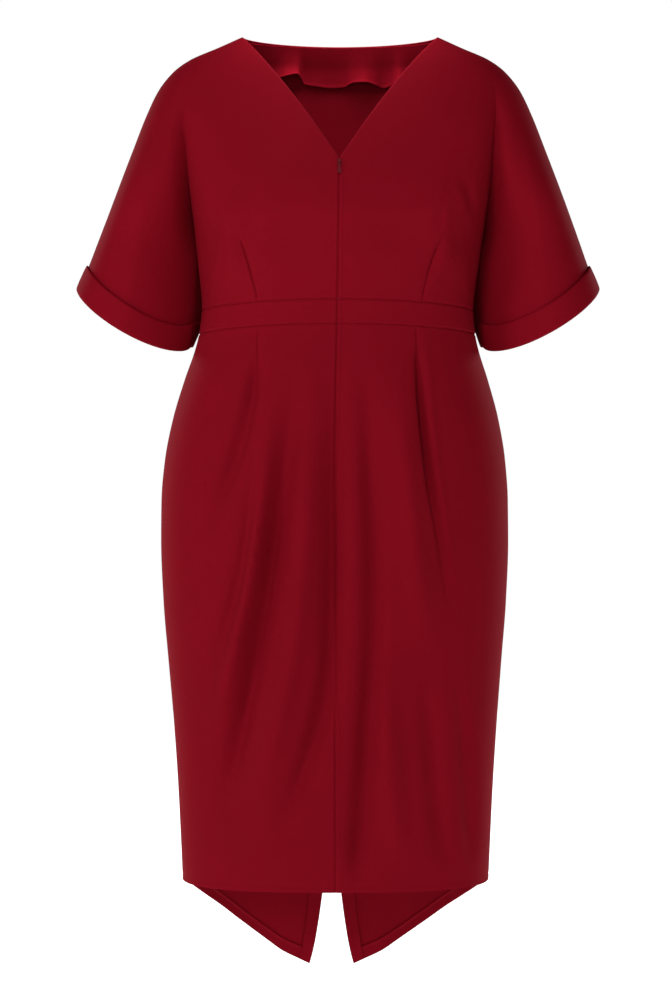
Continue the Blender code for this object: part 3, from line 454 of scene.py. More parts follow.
def fold_share(z):
    """How deep the fold between body and sleeve is at body level z: 1 parts them."""
    down = np.clip((FOLD_START_Z - z) / (FOLD_START_Z - UNDERARM_Z), 0.0, 1.0)
    return 1 - (1 - down ** 1.3) ** 0.6


def gradual_share(z):
    """The same, away from the fold, where the cloth eases gently from one form to the other."""
    down = np.clip((FOLD_START_Z - z) / (FOLD_START_Z - UNDERARM_Z), 0.0, 1.0)
    return 1 - (1 - down ** 2.79) ** 2


def inner_z(z):
    """Height of the sleeve's underarm seam at body level z."""
    if z >= UNDERARM_Z:
        return z
    return UNDERARM_Z + (z - UNDERARM_Z) * (SLEEVE_END_Z - UNDERARM_Z) / (WAIST_TOP_Z - UNDERARM_Z)


def body_line(face, z, start_x=0.0):
    """Half a level section of the body, from start_x out to its side."""
    half, depth, power = body("half_width", z), body(face, z), body("power", z)
    first = math.asin(min(1.0, (start_x / half) ** (power / 2)))
    angle = np.linspace(first, math.pi / 2, DENSE)
    x = half * np.sin(angle) ** (2 / power)
    y = depth * np.cos(angle) ** (2 / power)
    return x, y


def sleeve_section(face):
    """Half a level ring of the sleeve, as shares of the way across it and of its depth."""
    turn = np.linspace(0.0, math.pi, DENSE)
    inner = turn < math.pi / 2
    power = np.where(inner, SLEEVE_INNER_POWER[face], SLEEVE_OUTER_POWER)
    bulge = np.abs(np.sin(turn)) ** (2 / power)
    reach = np.abs(np.cos(turn)) ** (2 / power)
    peak = SLEEVE_PEAK[face]
    return np.where(inner, peak * (1 - reach), peak + (1 - peak) * reach), bulge


def bodice_lines(face, z):
    """A section of half the bodice at body level z: the body to the fold, then the sleeve."""
    start_x = neck_x(z) if face == "front" else 0.0
    half, depth, power = body("half_width", z), body(face, z), body("power", z)
    body_x, body_y = body_line(face, z, min(max(start_x, 0.0), half))
    inner, outer = sleeve("inner_x", z), sleeve("outer_x", z)
    across, bulge = sleeve_section(face)
    arm_x = inner + (outer - inner) * across
    arm_y = sleeve(face, z) * bulge
    if z > UNDERARM_Z:
        gradual = gradual_share(z)
        near = FOLD_DEPTH * ease((FOLD_START_Z - z) / 0.09) * ease((z - UNDERARM_Z) / 0.06)
        over_body = depth * (1 - (body_x / outer) ** power) ** (1 / power)
        over_arm = depth * np.clip(1 - (arm_x / outer) ** power, 0.0, 1.0) ** (1 / power)
        share = gradual + near * bell(half - body_x, PARTING)
        body_y = body_y * share + over_body * (1 - share)
        share = gradual + near * bell(arm_x - inner, PARTING)
        arm_y = arm_y * share + over_arm * (1 - share)
    body_z = z + rise(face, body_x / half, z)
    drop = SLEEVE_DROP[face] * ease((z + 0.19) / (WAIST_TOP_Z + 0.19))
    arm_z = inner_z(z) + (sleeve("outer_z", z) - inner_z(z)) * across
    arm_z = arm_z - drop * (4 * across * (1 - across)) ** 0.6
    hug = SLEEVE_HUG[face] * ease((UNDERARM_Z - z) / (UNDERARM_Z - HUG_FULL_Z))
    hug *= 1 - (1 - HUG_LEFT) * ease((HUG_FADE_Z - z) / (HUG_FADE_Z - WAIST_TOP_Z))
    arm_x = arm_x - hug * bulge ** 1.4 * (1 - across) ** 3
    torso = np.stack([body_x, body_y, body_z], axis=1)
    arm = np.stack([arm_x, arm_y, arm_z], axis=1)
    if UNDERARM_Z < z < 0:
        torso, arm = rounded_fold(torso, arm, FOLD_ROUNDING * (1 - fold_share(z)))
    return torso, arm


def rounded_fold(torso, arm, radius):
    """Both lines again, with the groove where they meet eased to about that radius."""
    line = np.concatenate([torso, arm[1:]])
    meeting = len(torso) - 1
    spacing = max(np.linalg.norm(np.diff(line, axis=0), axis=1).mean(), 1e-6)
    for _ in range(int(min(300, 2 * (radius / spacing) ** 2))):
        line[1:-1] = (line[:-2] + 2 * line[1:-1] + line[2:]) / 4
    return line[: meeting + 1], line[meeting:]


def level_line(face, z, start_x=0.0):
    """Points of half a level section below the bodice, from start_x to the side seam."""
    x, y = body_line(face, z, start_x)
    return np.stack([x, y, z + rise(face, x / body("half_width", z), z)], axis=1)


def hung(points):
    """The points of the left and right alike, shifted to where the dress hangs."""
    points = np.array(points, float)
    heights, shifts = zip(*HANG)
    x, y, z = points[:, 0], points[:, 1], points[:, 2]
    near_centre = np.where(y > 0, np.clip(1 - (x / 0.19) ** 2, 0, 1), 0.0)
    split = ease((SPLIT_TOP_Z - z) / 0.14) * near_centre
    points[:, 0] = x + smooth(heights, shifts, z) + SPLIT_LEAN * split
    return points


# ---------------------------------------------------------------- cloth

class Cloth:
    """Grids of points, shared where they coincide, each with its lift and its place in the cut."""

    def __init__(self, face):
        self.face, self.grids, self.lifts, self.cut, self.flips = face, [], [], [], []

    def grid(self, rows, side):
        """Adds rows of points, lifts and places across, from the top down and the centre out."""
        points, lift, across = (np.array([row[k] for row in rows], float) for k in range(3))
        points[..., 1] = np.maximum(points[..., 1], -EDGE_LAP) * OUTWARD[self.face]
        points[..., 0] *= side
        self.grids.append(points)
        self.lifts.append(lift.reshape(-1))
        self.cut.append(np.stack([across * side, points[..., 2]], axis=-1).reshape(-1, 2))
        self.flips.append(side * OUTWARD[self.face] > 0)

    def sewn(self, name, depth, lift=0.0):
        """Merges the grids, presses the folds and seams in, and makes the shell."""
        flat = np.concatenate([grid.reshape(-1, 3) for grid in self.grids])
        whole = np.round(flat, 6)
        _, first, index = np.unique(whole, axis=0, return_index=True, return_inverse=True)
        index, points = index.reshape(-1), flat[first]
        faces, start = [], 0
        for grid, flip in zip(self.grids, self.flips):
            rows, across = grid.shape[:2]
            at = index[start : start + rows * across].reshape(rows, across)
            start += rows * across
            faces += grid_quads(at, flip)
        normals = outward(points, faces)
        normals[np.abs(points[:, 1]) < 3 * EDGE_LAP, 1] = 0.0
        normals[np.abs(points[:, 0]) < 3 * EDGE_LAP, 0] = 0.0
        normals /= np.maximum(np.linalg.norm(normals, axis=1, keepdims=True), 1e-9)
        height = np.concatenate(self.lifts)[first]
        height = height + fold_height(self.face, points[:, 0], points[:, 2])
        surface = points + normals * height[:, None]
        return shell(name, surface, normals, faces, depth, np.concatenate(self.cut)[first], lift)


def quads(a, b, c, d, flip=False):
    """Faces a, b, c, d as tuples, with repeated corners dropped."""
    found = []
    for corners in zip(*(corner.reshape(-1).tolist() for corner in (a, b, c, d))):
        loop = tuple(dict.fromkeys(corners))
        if len(loop) > 2:
            found.append(loop[::-1] if flip else loop)
    return found


def grid_quads(at, flip=False):
    """Faces of a grid of point numbers."""
    return quads(at[:-1, :-1], at[1:, :-1], at[1:, 1:], at[:-1, 1:], flip)


def outward(points, faces):
    """Unit normals of the points, on the side that the faces turn to."""
    corners = np.array([(f[0], f[1], f[2], f[-1]) for f in faces])
    a, b, c, d = (points[corners[:, k]] for k in range(4))
    across = np.cross(c - a, d - b)
    thin = corners[:, 2] == corners[:, 3]
    across[thin] = np.cross(b[thin] - a[thin], c[thin] - a[thin])
    sums = np.zeros_like(points)
    for k in range(4):
        np.add.at(sums, corners[:, k], across)
    return sums / np.maximum(np.linalg.norm(sums, axis=1, keepdims=True), 1e-12)


def shell(name, points, normals, faces, depth, uv, lift=0.0):
    """A closed skin: its outer points lifted, its inner ones that depth below, its rim closed."""
    count = len(points)
    outer = points + normals * np.reshape(lift, (-1, 1))
    inner = outer - normals * np.reshape(depth, (-1, 1))
    edges = {(s, e) for loop in faces for s, e in zip(loop, loop[1:] + loop[:1])}
    rim = [(e, s, s + count, e + count) for s, e in sorted(edges) if (e, s) not in edges]
    below = [tuple(i + count for i in reversed(loop)) for loop in faces]
    places = hung(np.concatenate([outer, inner]))
    return mesh_object(name, places, list(faces) + below + rim, np.tile(uv, (2, 1)))


def mesh_object(name, points, faces, uv=None):
    """The object of that name with a smooth mesh of these faces."""
    mesh = bpy.data.meshes.new(name)
    mesh.from_pydata(np.asarray(points).tolist(), [], faces)
    if uv is not None:
        layer = mesh.uv_layers.new(name="UVMap")
        loops = np.zeros(len(mesh.loops), int)
        mesh.loops.foreach_get("vertex_index", loops)
        layer.data.foreach_set("uv", uv[loops].astype(np.float32).ravel())
    mesh.shade_smooth()
    mesh.set_sharp_from_angle(angle=SHARP_ANGLE)
    thing = bpy.data.objects.new(name, mesh)
    bpy.context.scene.collection.objects.link(thing)
    return thing


def cloth_piece(thing, node, finish):
    """Finishes a cloth piece: its material, what it stands for and rides on."""
    thing.data.materials.append(finish)
    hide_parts(node)
    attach(thing, "dress")


# ---------------------------------------------------------------- panels

def seam_dip(distance):
    """The cloth rolls in at a seam."""
    return -SEAM_DEPTH * bell(distance, SEAM_WIDTH)


def hem_dip(height):
    """The hem's stitches pull a faint line this far above its edge."""
    return -HEM_LINE_DEPTH * bell(height - HEM_LINE, HEM_LINE_WIDTH)


def zip_bulk(side_name, across):
    """The zip's tape and the folded edge raise the cloth beside the centre front seam."""
    away, height, width = ZIP_BULK[side_name]
    return height * bell(across - away, width)


def bodice_grids(cloth, side_name, side, pitch):
    """Grids of a bodice half: whole rows down to the underarm, then body and sleeve apart."""
    face = cloth.face
    upper = np.arange(-0.048, UNDERARM_Z + pitch / 2, -pitch)
    upper = np.concatenate([SHOULDER_LEVELS, upper, [-V_DEPTH, UNDERARM_Z]])
    upper = np.unique(np.round(upper, 5))[::-1]
    lower = levels(UNDERARM_Z, WAIST_TOP_Z, pitch)[1:]
    whole, torsos, arms = [], [], []
    for z in [*upper, *lower]:
        torso, arm = bodice_lines(face, z)
        reach, arm_reach = along(torso)[-1], along(arm)[-1]
        mark = np.interp(dart_x("bodice", face, side_name, z), torso[:, 0], along(torso))
        mark = min(max(mark, 0.35 * reach), 0.75 * reach)
        at = columns(reach, mark, BODICE_COUNTS)
        torso = sampled(torso, at)
        start = torso[0, 0] if face == "front" else 0.0
        arm_at = np.concatenate([between(arm_reach, SLEEVE_COUNT), [arm_reach]])
        arm = sampled(arm, arm_at)
        lift = 0.0 * at
        if face == "front":
            lift = seam_dip(at)
            if z <= -V_DEPTH:
                torso[0, 0] = -EDGE_LAP
                lift = lift + zip_bulk(side_name, at) * ease((-V_DEPTH - z) / 0.02)
        lift = lift + dart_height("bodice", face, side_name, at - mark, torso[:, 2])
        arm_lift = seam_dip(arm_reach - arm_at)
        if z == UNDERARM_Z:
            arm[0] = torso[-1]
        if z >= UNDERARM_Z:
            across = start + np.concatenate([at, reach + arm_at[1:]])
            lifts = np.concatenate([lift, arm_lift[1:]])
            whole.append((np.concatenate([torso, arm[1:]]), lifts, across))
        if z <= UNDERARM_Z:
            sewn = float(z < UNDERARM_Z)
            body_lift = lift + sewn * seam_dip(reach - at) + seam_dip(z - WAIST_TOP_Z)
            torsos.append((torso, body_lift, start + at))
            arms.append((arm, arm_lift + sewn * seam_dip(arm_at), start + reach + arm_at))
    for rows in (whole, torsos, arms):
        cloth.grid(rows, side)


def panel_grid(cloth, part, side_name, side, heights, counts, band=False):
    """The grid of a waistband or front skirt half, between straight seams."""
    face, rows = cloth.face, []
    for z in heights:
        line = level_line(face, z)
        reach = along(line)[-1]
        mark = np.interp(dart_x(part, face, side_name, z), line[:, 0], along(line))
        at = columns(reach, mark, counts)
        row = sampled(line, at)
        lift = seam_dip(reach - at) + seam_dip(heights[0] - z)
        if face == "front":
            row[0, 0] = -EDGE_LAP
            zip_fade = ease((z - FRONT_HEM_Z - 0.03) / 0.03)
            lift = lift + seam_dip(at) + zip_bulk(side_name, at) * zip_fade
        high = z - heights[-1]
        if band:
            line_dip = BAND_LINE_DEPTH * bell(high - BAND_LINE, BAND_LINE_WIDTH)
            lift = lift + seam_dip(high) - line_dip
        else:
            lift = lift + dart_height(part, face, side_name, at - mark, row[:, 2])
            lift = lift + hem_dip(high)
        rows.append((row, lift, at))
    cloth.grid(rows, side)


def split_x(z):
    """Half the gap between the back panels: a plain seam down to the split, then it opens."""
    down = max(0.0, (SPLIT_TOP_Z - z) / (SPLIT_TOP_Z - TAIL_Z))
    return TAIL_HALF_GAP * down ** 1.9 + TIP_FLARE * down ** 14


class BackPanel:
    """The back skirt half: its level lines at many heights, read where slanting rows need them."""

    def __init__(self, side_name):
        self.heights = np.linspace(WAIST_BOTTOM_Z, TAIL_Z - 0.004, 240)
        lines, ats, marks = [], [], []
        for z in self.heights:
            line = level_line("back", z, split_x(z))
            reach = along(line)
            mark = np.interp(dart_x("skirt", "back", side_name, z), line[:, 0], reach)
            at = columns(reach[-1], mark, BACK_SKIRT_COUNTS)
            lines.append(sampled(line, at))
            ats.append(at)
            marks.append(at - mark)
        self.lines, self.ats, self.marks = np.array(lines), np.array(ats), np.array(marks)
        shares, drops = zip(*BACK_HEM)
        self.hem = np.full(self.lines.shape[1], FRONT_HEM_Z)
        for _ in range(8):
            x = self.at(self.lines[..., 0], self.hem)
            self.hem = FRONT_HEM_Z - smooth(shares, drops, x / body("half_width", self.hem))

    def at(self, table, z):
        """A table of rows by height, read at one height for each column."""
        return np.array([np.interp(-z[c], -self.heights, table[:, c]) for c in range(len(z))])

    def row(self, z):
        return np.stack([self.at(self.lines[..., k], z) for k in range(3)], axis=1)


def back_skirt_grid(cloth, panel, side_name, side):
    """Rows follow the waist at the top and the dipping hem at the bottom."""
    top, rows = WAIST_BOTTOM_Z, []
    shares = (top - levels(top, TAIL_Z, BACK_SKIRT_PITCH)) / (top - TAIL_Z)
    for share in shares:
        z = top + (panel.hem - top) * share
        row = panel.row(z)
        at, off = panel.at(panel.ats, z), panel.at(panel.marks, z)
        lift = seam_dip(at[-1] - at) + seam_dip(top - z)
        lift = lift + dart_height("skirt", "back", side_name, off, z)
        closed = ease((z[0] - SPLIT_TOP_Z) / 0.004)
        lift = lift + seam_dip(at) * (0.35 + 0.65 * closed)
        if closed > 0:
            row[0, 0] = min(row[0, 0], -EDGE_LAP * closed)
        rows.append((row, lift + hem_dip(z - panel.hem), at))
    cloth.grid(rows, side)


def strip(name, grid, normals, depth, lift, across):
    """A closed strip from a grid of points; depth, lift and place across may vary over it."""
    shape = grid.shape[:2]
    depth, lift, across = (np.broadcast_to(v, shape).reshape(-1) for v in (depth, lift, across))
    flat, out = grid.reshape(-1, 3), normals.reshape(-1, 3)
    faces = grid_quads(np.arange(len(flat)).reshape(shape))
    if (outward(flat, faces) * out).sum() < 0:
        faces = [loop[::-1] for loop in faces]
    return shell(name, flat, out, faces, depth, np.stack([across, flat[:, 2]], axis=1), lift)


def grid_normals(grid, outward_y):
    """Unit normals of a grid of points."""
    down, over = np.gradient(grid, axis=0), np.gradient(grid, axis=1)
    normals = np.cross(down, over)
    normals /= np.maximum(np.linalg.norm(normals, axis=-1, keepdims=True), 1e-12)
    return normals * (np.sign((normals[..., 1] * outward_y).sum()) or 1.0)


def folded_in(grid, face):
    """A grid of placed points with the soft folds pressed in, and its normals."""
    normals = grid_normals(grid, OUTWARD[face])
    height = fold_height(face, grid[..., 0], grid[..., 2])
    return grid + normals * height[..., None], normals


# ---------------------------------------------------------------- cuffs, facing and zip

def eased(ring, times):
    """A closed ring of points or directions, smoothed."""
    for _ in range(times):
        ring = (np.roll(ring, 1, axis=0) + 2 * ring + np.roll(ring, -1, axis=0)) / 4
    return ring


def sleeve_ring(z, count):
    """The whole left sleeve's section at body level z, from the underarm seam round the front."""
    halves = []
    for face in ("front", "back"):
        line = bodice_lines(face, z)[1]
        at = np.linspace(0.0, along(line)[-1], count + 1)
        halves.append(sampled(line, at) * (1, OUTWARD[face], 1))
    return eased(np.concatenate([halves[0], halves[1][-2:0:-1]]), 6)


CUFF_PROFILE = (  # up the sleeve and out from its surface, round the folded cuff
    (-0.0037, 0.001),
    (-0.0036, 0.0024),
    (-0.0027, 0.0034),
    (-0.001, 0.0039),
    (0.003, 0.0041),
    (0.008, 0.0042),
    (0.014, 0.0042),
    (0.02, 0.0041),
    (0.025, 0.0039),
    (0.0275, 0.0036),
    (0.0285, 0.0032),
    (0.0289, 0.0026),
    (0.0285, 0.0019),
    (0.0272, 0.0014),
    (0.02, 0.0013),
    (0.014, 0.0012),
    (0.006, 0.001),
    (0.001, 0.0008),
    (-0.0008, 0.0007),
    (-0.0008, -0.0024),
    (0.006, -0.0024),
    (0.0072, -0.0028),
    (0.006, -0.0034),
    (-0.002, -0.0034),
    (-0.0034, -0.0022),
)


def cuff_mesh(name, side):
    """A turned-back cuff, a little uneven where the hand has pressed it."""
    edge, above = (sleeve_ring(z, CUFF_COUNT) for z in (WAIST_TOP_Z, ABOVE_CUFF_Z))
    count = len(edge)
    round_it = np.roll(edge, -1, axis=0) - np.roll(edge, 1, axis=0)
    round_it /= np.linalg.norm(round_it, axis=1, keepdims=True)
    up = above - edge
    up -= (up * round_it).sum(axis=1, keepdims=True) * round_it
    up = eased(up / np.linalg.norm(up, axis=1, keepdims=True), 12)
    out = eased(np.cross(up, round_it), 60)
    out /= np.linalg.norm(out, axis=1, keepdims=True)
    if ((edge - edge.mean(axis=0)) * out).sum() < 0:
        out = -out
    reach = along(np.concatenate([edge, edge[:1]]))
    turn = reach[:-1] / reach[-1] * 2 * math.pi
    phase = 0.7 if side > 0 else 2.1
    uneven = 0.00045 * np.sin(3 * turn + phase) + 0.00030 * np.sin(7 * turn + 2 * phase)
    seams = np.array([0.0, reach[count // 2], reach[-1]])
    to_seam = np.abs(reach[:-1, None] - seams).min(axis=1)
    rings = []
    for high, far in CUFF_PROFILE:
        outside = ease((far - 0.0009) / 0.003)
        share = ease(high / 0.028)
        away = far + outside * (uneven * share - 0.0009 * bell(to_seam, 0.0012))
        height = high + outside * 0.0006 * share * np.sin(2 * turn + phase)
        rings.append((edge + up * height[:, None] + out * away[:, None]) * (side, 1, 1))
    flat = hung(np.concatenate(rings))
    at = np.arange(len(flat)).reshape(len(rings), count)
    after = np.roll(at, -1, axis=1)
    faces = quads(at, after, np.roll(after, -1, axis=0), np.roll(at, -1, axis=0))
    middle = (edge * (side, 1, 1)).mean(axis=0)
    normals = outward(flat, faces)[: 8 * count]
    if ((flat[: 8 * count] - middle) * normals).sum() < 0:
        faces = [loop[::-1] for loop in faces]
    around = np.tile(reach[:-1], len(rings))
    up_it = np.repeat([row[0] for row in CUFF_PROFILE], count)
    return mesh_object(name, flat, faces, np.stack([around, up_it], axis=1))


def facing_mesh(name):
    """The back neck facing, free inside the back, with a rippled lower edge that stands off."""
    xs = np.linspace(FACING[0][0], FACING[-1][0], 190)
    edge = reading(FACING, FACING_COLUMNS, "edge_z", xs)
    off = reading(FACING, FACING_COLUMNS, "off", xs)
    downs = np.concatenate([np.linspace(0.0, 0.94, 34), [0.955, 0.97, 0.985, 1.0]])
    heights = np.linspace(0.0, -0.075, 60)
    backs = [level_line("back", z) for z in heights]
    table = np.array([np.interp(np.abs(xs), line[:, 0], line[:, 1]) for line in backs])
    rows = []
    for down in downs:
        z = -0.0012 + (edge + 0.0012) * down
        y = np.array([np.interp(-z[c], -heights, table[:, c]) for c in range(len(xs))])
        stand = off * (0.25 * down + 0.75 * down ** 2.2)
        rows.append(np.stack([xs, y - 0.0028 - stand, z + rise("back", 0.0, z)], axis=1))
    grid = np.array(rows)
    normals = grid_normals(grid, OUTWARD["back"])
    depth = np.where(downs > 0.95, 0.0013, 0.0009)[:, None]
    return strip(name, grid, normals, depth, 0.0, xs)


# ---------------------------------------------------------------- materials

def linear(code):
    """A colour written as sRGB hex, as Blender's linear numbers."""
    found = [int(code[k : k + 2], 16) / 255 for k in (1, 3, 5)]
    found = [c / 12.92 if c <= 0.04045 else ((c + 0.055) / 1.055) ** 2.4 for c in found]
    return (*found, 1.0)


def scaled(colour, share=1.0):
    """A colour made darker or lighter by a share."""
    return tuple(c * share for c in colour[:3]) + (1.0,)


class Finish:
    """A material and short ways to add nodes to it."""

    def __init__(self, name):
        self.material = bpy.data.materials.new(name)
        self.material.use_nodes = True
        self.tree = self.material.node_tree
        self.shader = self.tree.nodes["Principled BSDF"]

    def node(self, kind, settings=None, **inputs):
        """Adds a node with its settings, and sets or links its inputs by name."""
        made = self.tree.nodes.new(kind)
        for key, value in (settings or {}).items():
            setattr(made, key, value)
        for key, value in inputs.items():
            self.set(made, key.replace("_", " "), value)
        return made

    def set(self, node, name, value):
        socket = node.inputs[int(name)] if name.isdigit() else node.inputs[name]
        if isinstance(value, bpy.types.NodeSocket):
            self.tree.links.new(value, socket)
        else:
            socket.default_value = value

    def shade(self, **inputs):
        for key, value in inputs.items():
            self.set(self.shader, key.replace("_", " "), value)
        return self.material

    def noise(self, scale, detail, roughness=0.5):
        """Noise that is fixed to the object."""
        inputs = {"Vector": self.node("ShaderNodeTexCoord").outputs["Object"]}
        inputs |= {"Scale": scale, "Detail": detail, "Roughness": roughness}
        return self.node("ShaderNodeTexNoise", **inputs).outputs["Fac"]

    def bands(self, direction, **inputs):
        """Woven bands that follow the cut of the cloth."""
        settings = {"wave_type": "BANDS", "bands_direction": direction}
        inputs["Vector"] = self.node("ShaderNodeTexCoord").outputs["UV"]
        return self.node("ShaderNodeTexWave", settings, **inputs).outputs["Fac"]

    def mixed(self, factor, first, second, blend="MIX"):
        settings = {"data_type": "RGBA", "blend_type": blend}
        made = self.node("ShaderNodeMix", settings, Factor=factor)
        self.set(made, "6", first)
        self.set(made, "7", second)
        return made.outputs[2]

    def ranged(self, value, low, high, **ends):
        made = self.node("ShaderNodeMapRange", Value=value, To_Min=low, To_Max=high, **ends)
        return made.outputs[0]

    def bump(self, strength, distance, height, **under):
        inputs = {"Strength": strength, "Distance": distance, "Height": height, **under}
        return self.node("ShaderNodeBump", **inputs).outputs[0]


def crepe(looks):
    """Stretch crepe: matt, with a pebbled grain and hardly any change of shade."""
    finish = Finish("wine_crepe")
    grain = finish.noise(1500.0, 2.0, 0.6)
    weft = finish.bands("Y", Scale=330.0, Distortion=2.4, Detail=2.0, Detail_Scale=3.0)
    warp = finish.bands("X", Scale=380.0, Distortion=2.0, Detail=2.0, Detail_Scale=3.0)
    clouds = finish.noise(14.0, 3.0, 0.55)
    shade = finish.mixed(clouds, scaled(looks.cloth, 0.93), scaled(looks.cloth, 1.07))
    tinted = finish.mixed(1.0, shade, finish.ranged(grain, 0.93, 1.07), "MULTIPLY")
    weave = finish.node("ShaderNodeMath", {"operation": "ADD"})
    finish.set(weave, "0", weft)
    finish.set(weave, "1", warp)
    woven = finish.bump(0.16, 0.00012, weave.outputs[0])
    return finish.shade(
        Base_Color=tinted, Roughness=finish.ranged(grain, 0.76, 0.88), Specular_IOR_Level=0.03,
        Sheen_Weight=0.04, Sheen_Roughness=0.5, Sheen_Tint=linear("#b82a38"),
        Normal=finish.bump(0.30, 0.00018, grain, Normal=woven),
    )


def tape_weave(looks):
    """Zip tape: flat woven polyester with a fine herringbone."""
    finish = Finish("zip_tape_weave")
    ribs = finish.bands("DIAGONAL", Scale=420.0, Distortion=1.0, Detail=1.0)
    shade = finish.mixed(ribs, scaled(looks.tape, 0.85), scaled(looks.tape, 1.15))
    return finish.shade(Base_Color=shade, Roughness=0.62, Normal=finish.bump(0.4, 0.0002, ribs))


def thread(looks):
    """Matching polyester thread, with a slight twist."""
    finish = Finish("matching_thread")
    twist = finish.noise(2600.0, 1.0)
    shade = finish.mixed(twist, scaled(looks.cloth, 0.80), scaled(looks.cloth, 1.20))
    return finish.shade(Base_Color=shade, Roughness=0.5, Sheen_Weight=0.1)


def coil_nylon(looks):
    """Nylon coil of the zip: smooth, with a soft shine."""
    finish = Finish("nylon_coil")
    dye = finish.noise(300.0, 1.0)
    shade = finish.mixed(dye, scaled(looks.tape, 0.95), scaled(looks.tape, 1.25))
    return finish.shade(Base_Color=shade, Roughness=0.35, Coat_Weight=0.15, Coat_Roughness=0.3)


def lacquered(looks, name, worn_share):
    """Lacquered die-cast metal: dull red lacquer that has rubbed off in specks."""
    finish = Finish(name)
    specks = finish.noise(1400.0, 4.0, 0.7)
    edge = {"From_Min": 0.62 - worn_share, "From_Max": 0.70 - worn_share}
    worn = finish.ranged(specks, 0.0, 1.0, **edge)
    return finish.shade(
        Base_Color=finish.mixed(worn, scaled(looks.lacquer), scaled(looks.metal)), Metallic=worn,
        Roughness=finish.ranged(specks, 0.42, 0.58), Specular_IOR_Level=0.08,
        Normal=finish.bump(0.15, 0.0001, specks),
    )


def studio_paper(glow):
    """Plain pale studio paper that gives off painted light: weaker in front of the dress, full
    further away.
    """
    finish = Finish("studio_paper")
    away = finish.node("ShaderNodeVectorMath", {"operation": "DISTANCE"})
    finish.set(away, "0", finish.node("ShaderNodeTexCoord").outputs["Object"])
    finish.set(away, "1", PAINTED_GLOW_LOW_AT)
    ends = {"From_Min": PAINTED_GLOW_LOW_WITHIN, "From_Max": PAINTED_GLOW_FULL_BEYOND}
    return finish.shade(
        Base_Color=finish.mixed(finish.noise(3.0, 2.0), linear("#fbfbfb"), linear("#fdfdfd")),
        Roughness=0.9, Specular_IOR_Level=0.1, Emission_Color=linear("#ffffff"),
        # painted light: the paper glows, less in front of the dress
        Emission_Strength=finish.ranged(away.outputs["Value"], glow * 0.6, 1.0, **ends),
    )


def finish_named(name, maker, *values):
    """The material of that name, made when it is first asked for."""
    return bpy.data.materials.get(name) or maker(*values)


def crepe_finish(context):
    return finish_named("wine_crepe", crepe, context.scene.dress_looks)


# ---------------------------------------------------------------- repeated pieces

REPEAT_SIZES = {
    "Spacing": 0.003, "Length": 0.002, "Width": 0.0006, "Height": 0.0004, "Slant": 0.0,
    "Uneven": 0.05, "Seed": 7,
}


class Tree:
    """A Geometry Nodes tree and a short way to add nodes to it."""

    def __init__(self, name, sizes):
        self.tree = bpy.data.node_groups.new(name, "GeometryNodeTree")
        face = self.tree.interface
        face.new_socket("Geometry", in_out="INPUT", socket_type="NodeSocketGeometry")
        face.new_socket("Material", in_out="INPUT", socket_type="NodeSocketMaterial")
        for label, value in sizes.items():
            kind = "NodeSocketInt" if isinstance(value, int) else "NodeSocketFloat"
            face.new_socket(label, in_out="INPUT", socket_type=kind).default_value = value
        face.new_socket("Geometry", in_out="OUTPUT", socket_type="NodeSocketGeometry")
        self.given = self.tree.nodes.new("NodeGroupInput").outputs
        self.end = self.tree.nodes.new("NodeGroupOutput")

    def node(self, kind, inputs, result=0, **settings):
        """Adds a node with its settings and inputs, and gives back one of its results."""
        made = self.tree.nodes.new(kind)
        for key, value in settings.items():
            setattr(made, key, value)
        for key, value in inputs.items():
            if isinstance(value, bpy.types.NodeSocket):
                self.tree.links.new(value, made.inputs[key])
            else:
                made.inputs[key].default_value = value
        return made.outputs[result]


def repeat_tree():
    """Beads or stitches of one size, at even distances along the edges of a mesh."""
    tree = Tree("repeat_along_line", REPEAT_SIZES)
    add, given = tree.node, tree.given
    line = add("GeometryNodeMeshToCurve", {"Mesh": given["Geometry"]})
    places = {"Curve": line, "Length": given["Spacing"]}
    even = add("GeometryNodeResampleCurve", places, mode="LENGTH")
    ball = add("GeometryNodeMeshUVSphere", {"Segments": 8, "Rings": 5, "Radius": 0.5})
    tangent = add("GeometryNodeInputTangent", {})
    aim = add("FunctionNodeAlignRotationToVector", {"Vector": tangent}, axis="X")
    slant = add("ShaderNodeCombineXYZ", {"Z": given["Slant"]})
    lean = add("FunctionNodeEulerToRotation", {"Euler": slant})
    turns = {"Rotation": aim, "Rotate By": lean}
    turned = add("FunctionNodeRotateRotation", turns, rotation_space="LOCAL")
    lengths = {"X": given["Length"], "Y": given["Width"], "Z": given["Height"]}
    size = add("ShaderNodeCombineXYZ", lengths)
    low = add("ShaderNodeMath", {0: 1.0, 1: given["Uneven"]}, operation="SUBTRACT")
    high = add("ShaderNodeMath", {0: 1.0, 1: given["Uneven"]}, operation="ADD")
    # the float sockets of Random Value are the third and fourth, and its second result
    limits = {2: low, 3: high, "Seed": given["Seed"]}
    chance = add("FunctionNodeRandomValue", limits, 1, data_type="FLOAT")
    own_size = add("ShaderNodeVectorMath", {0: size, "Scale": chance}, operation="SCALE")
    put = {"Points": even, "Instance": ball, "Rotation": turned, "Scale": own_size}
    beads = add("GeometryNodeInstanceOnPoints", put)
    real = add("GeometryNodeRealizeInstances", {"Geometry": beads})
    looks = {"Geometry": real, "Material": given["Material"]}
    shaded = add("GeometryNodeSetShadeSmooth", {"Geometry": add("GeometryNodeSetMaterial", looks)})
    tree.tree.links.new(shaded, tree.end.inputs[0])
    return tree.tree


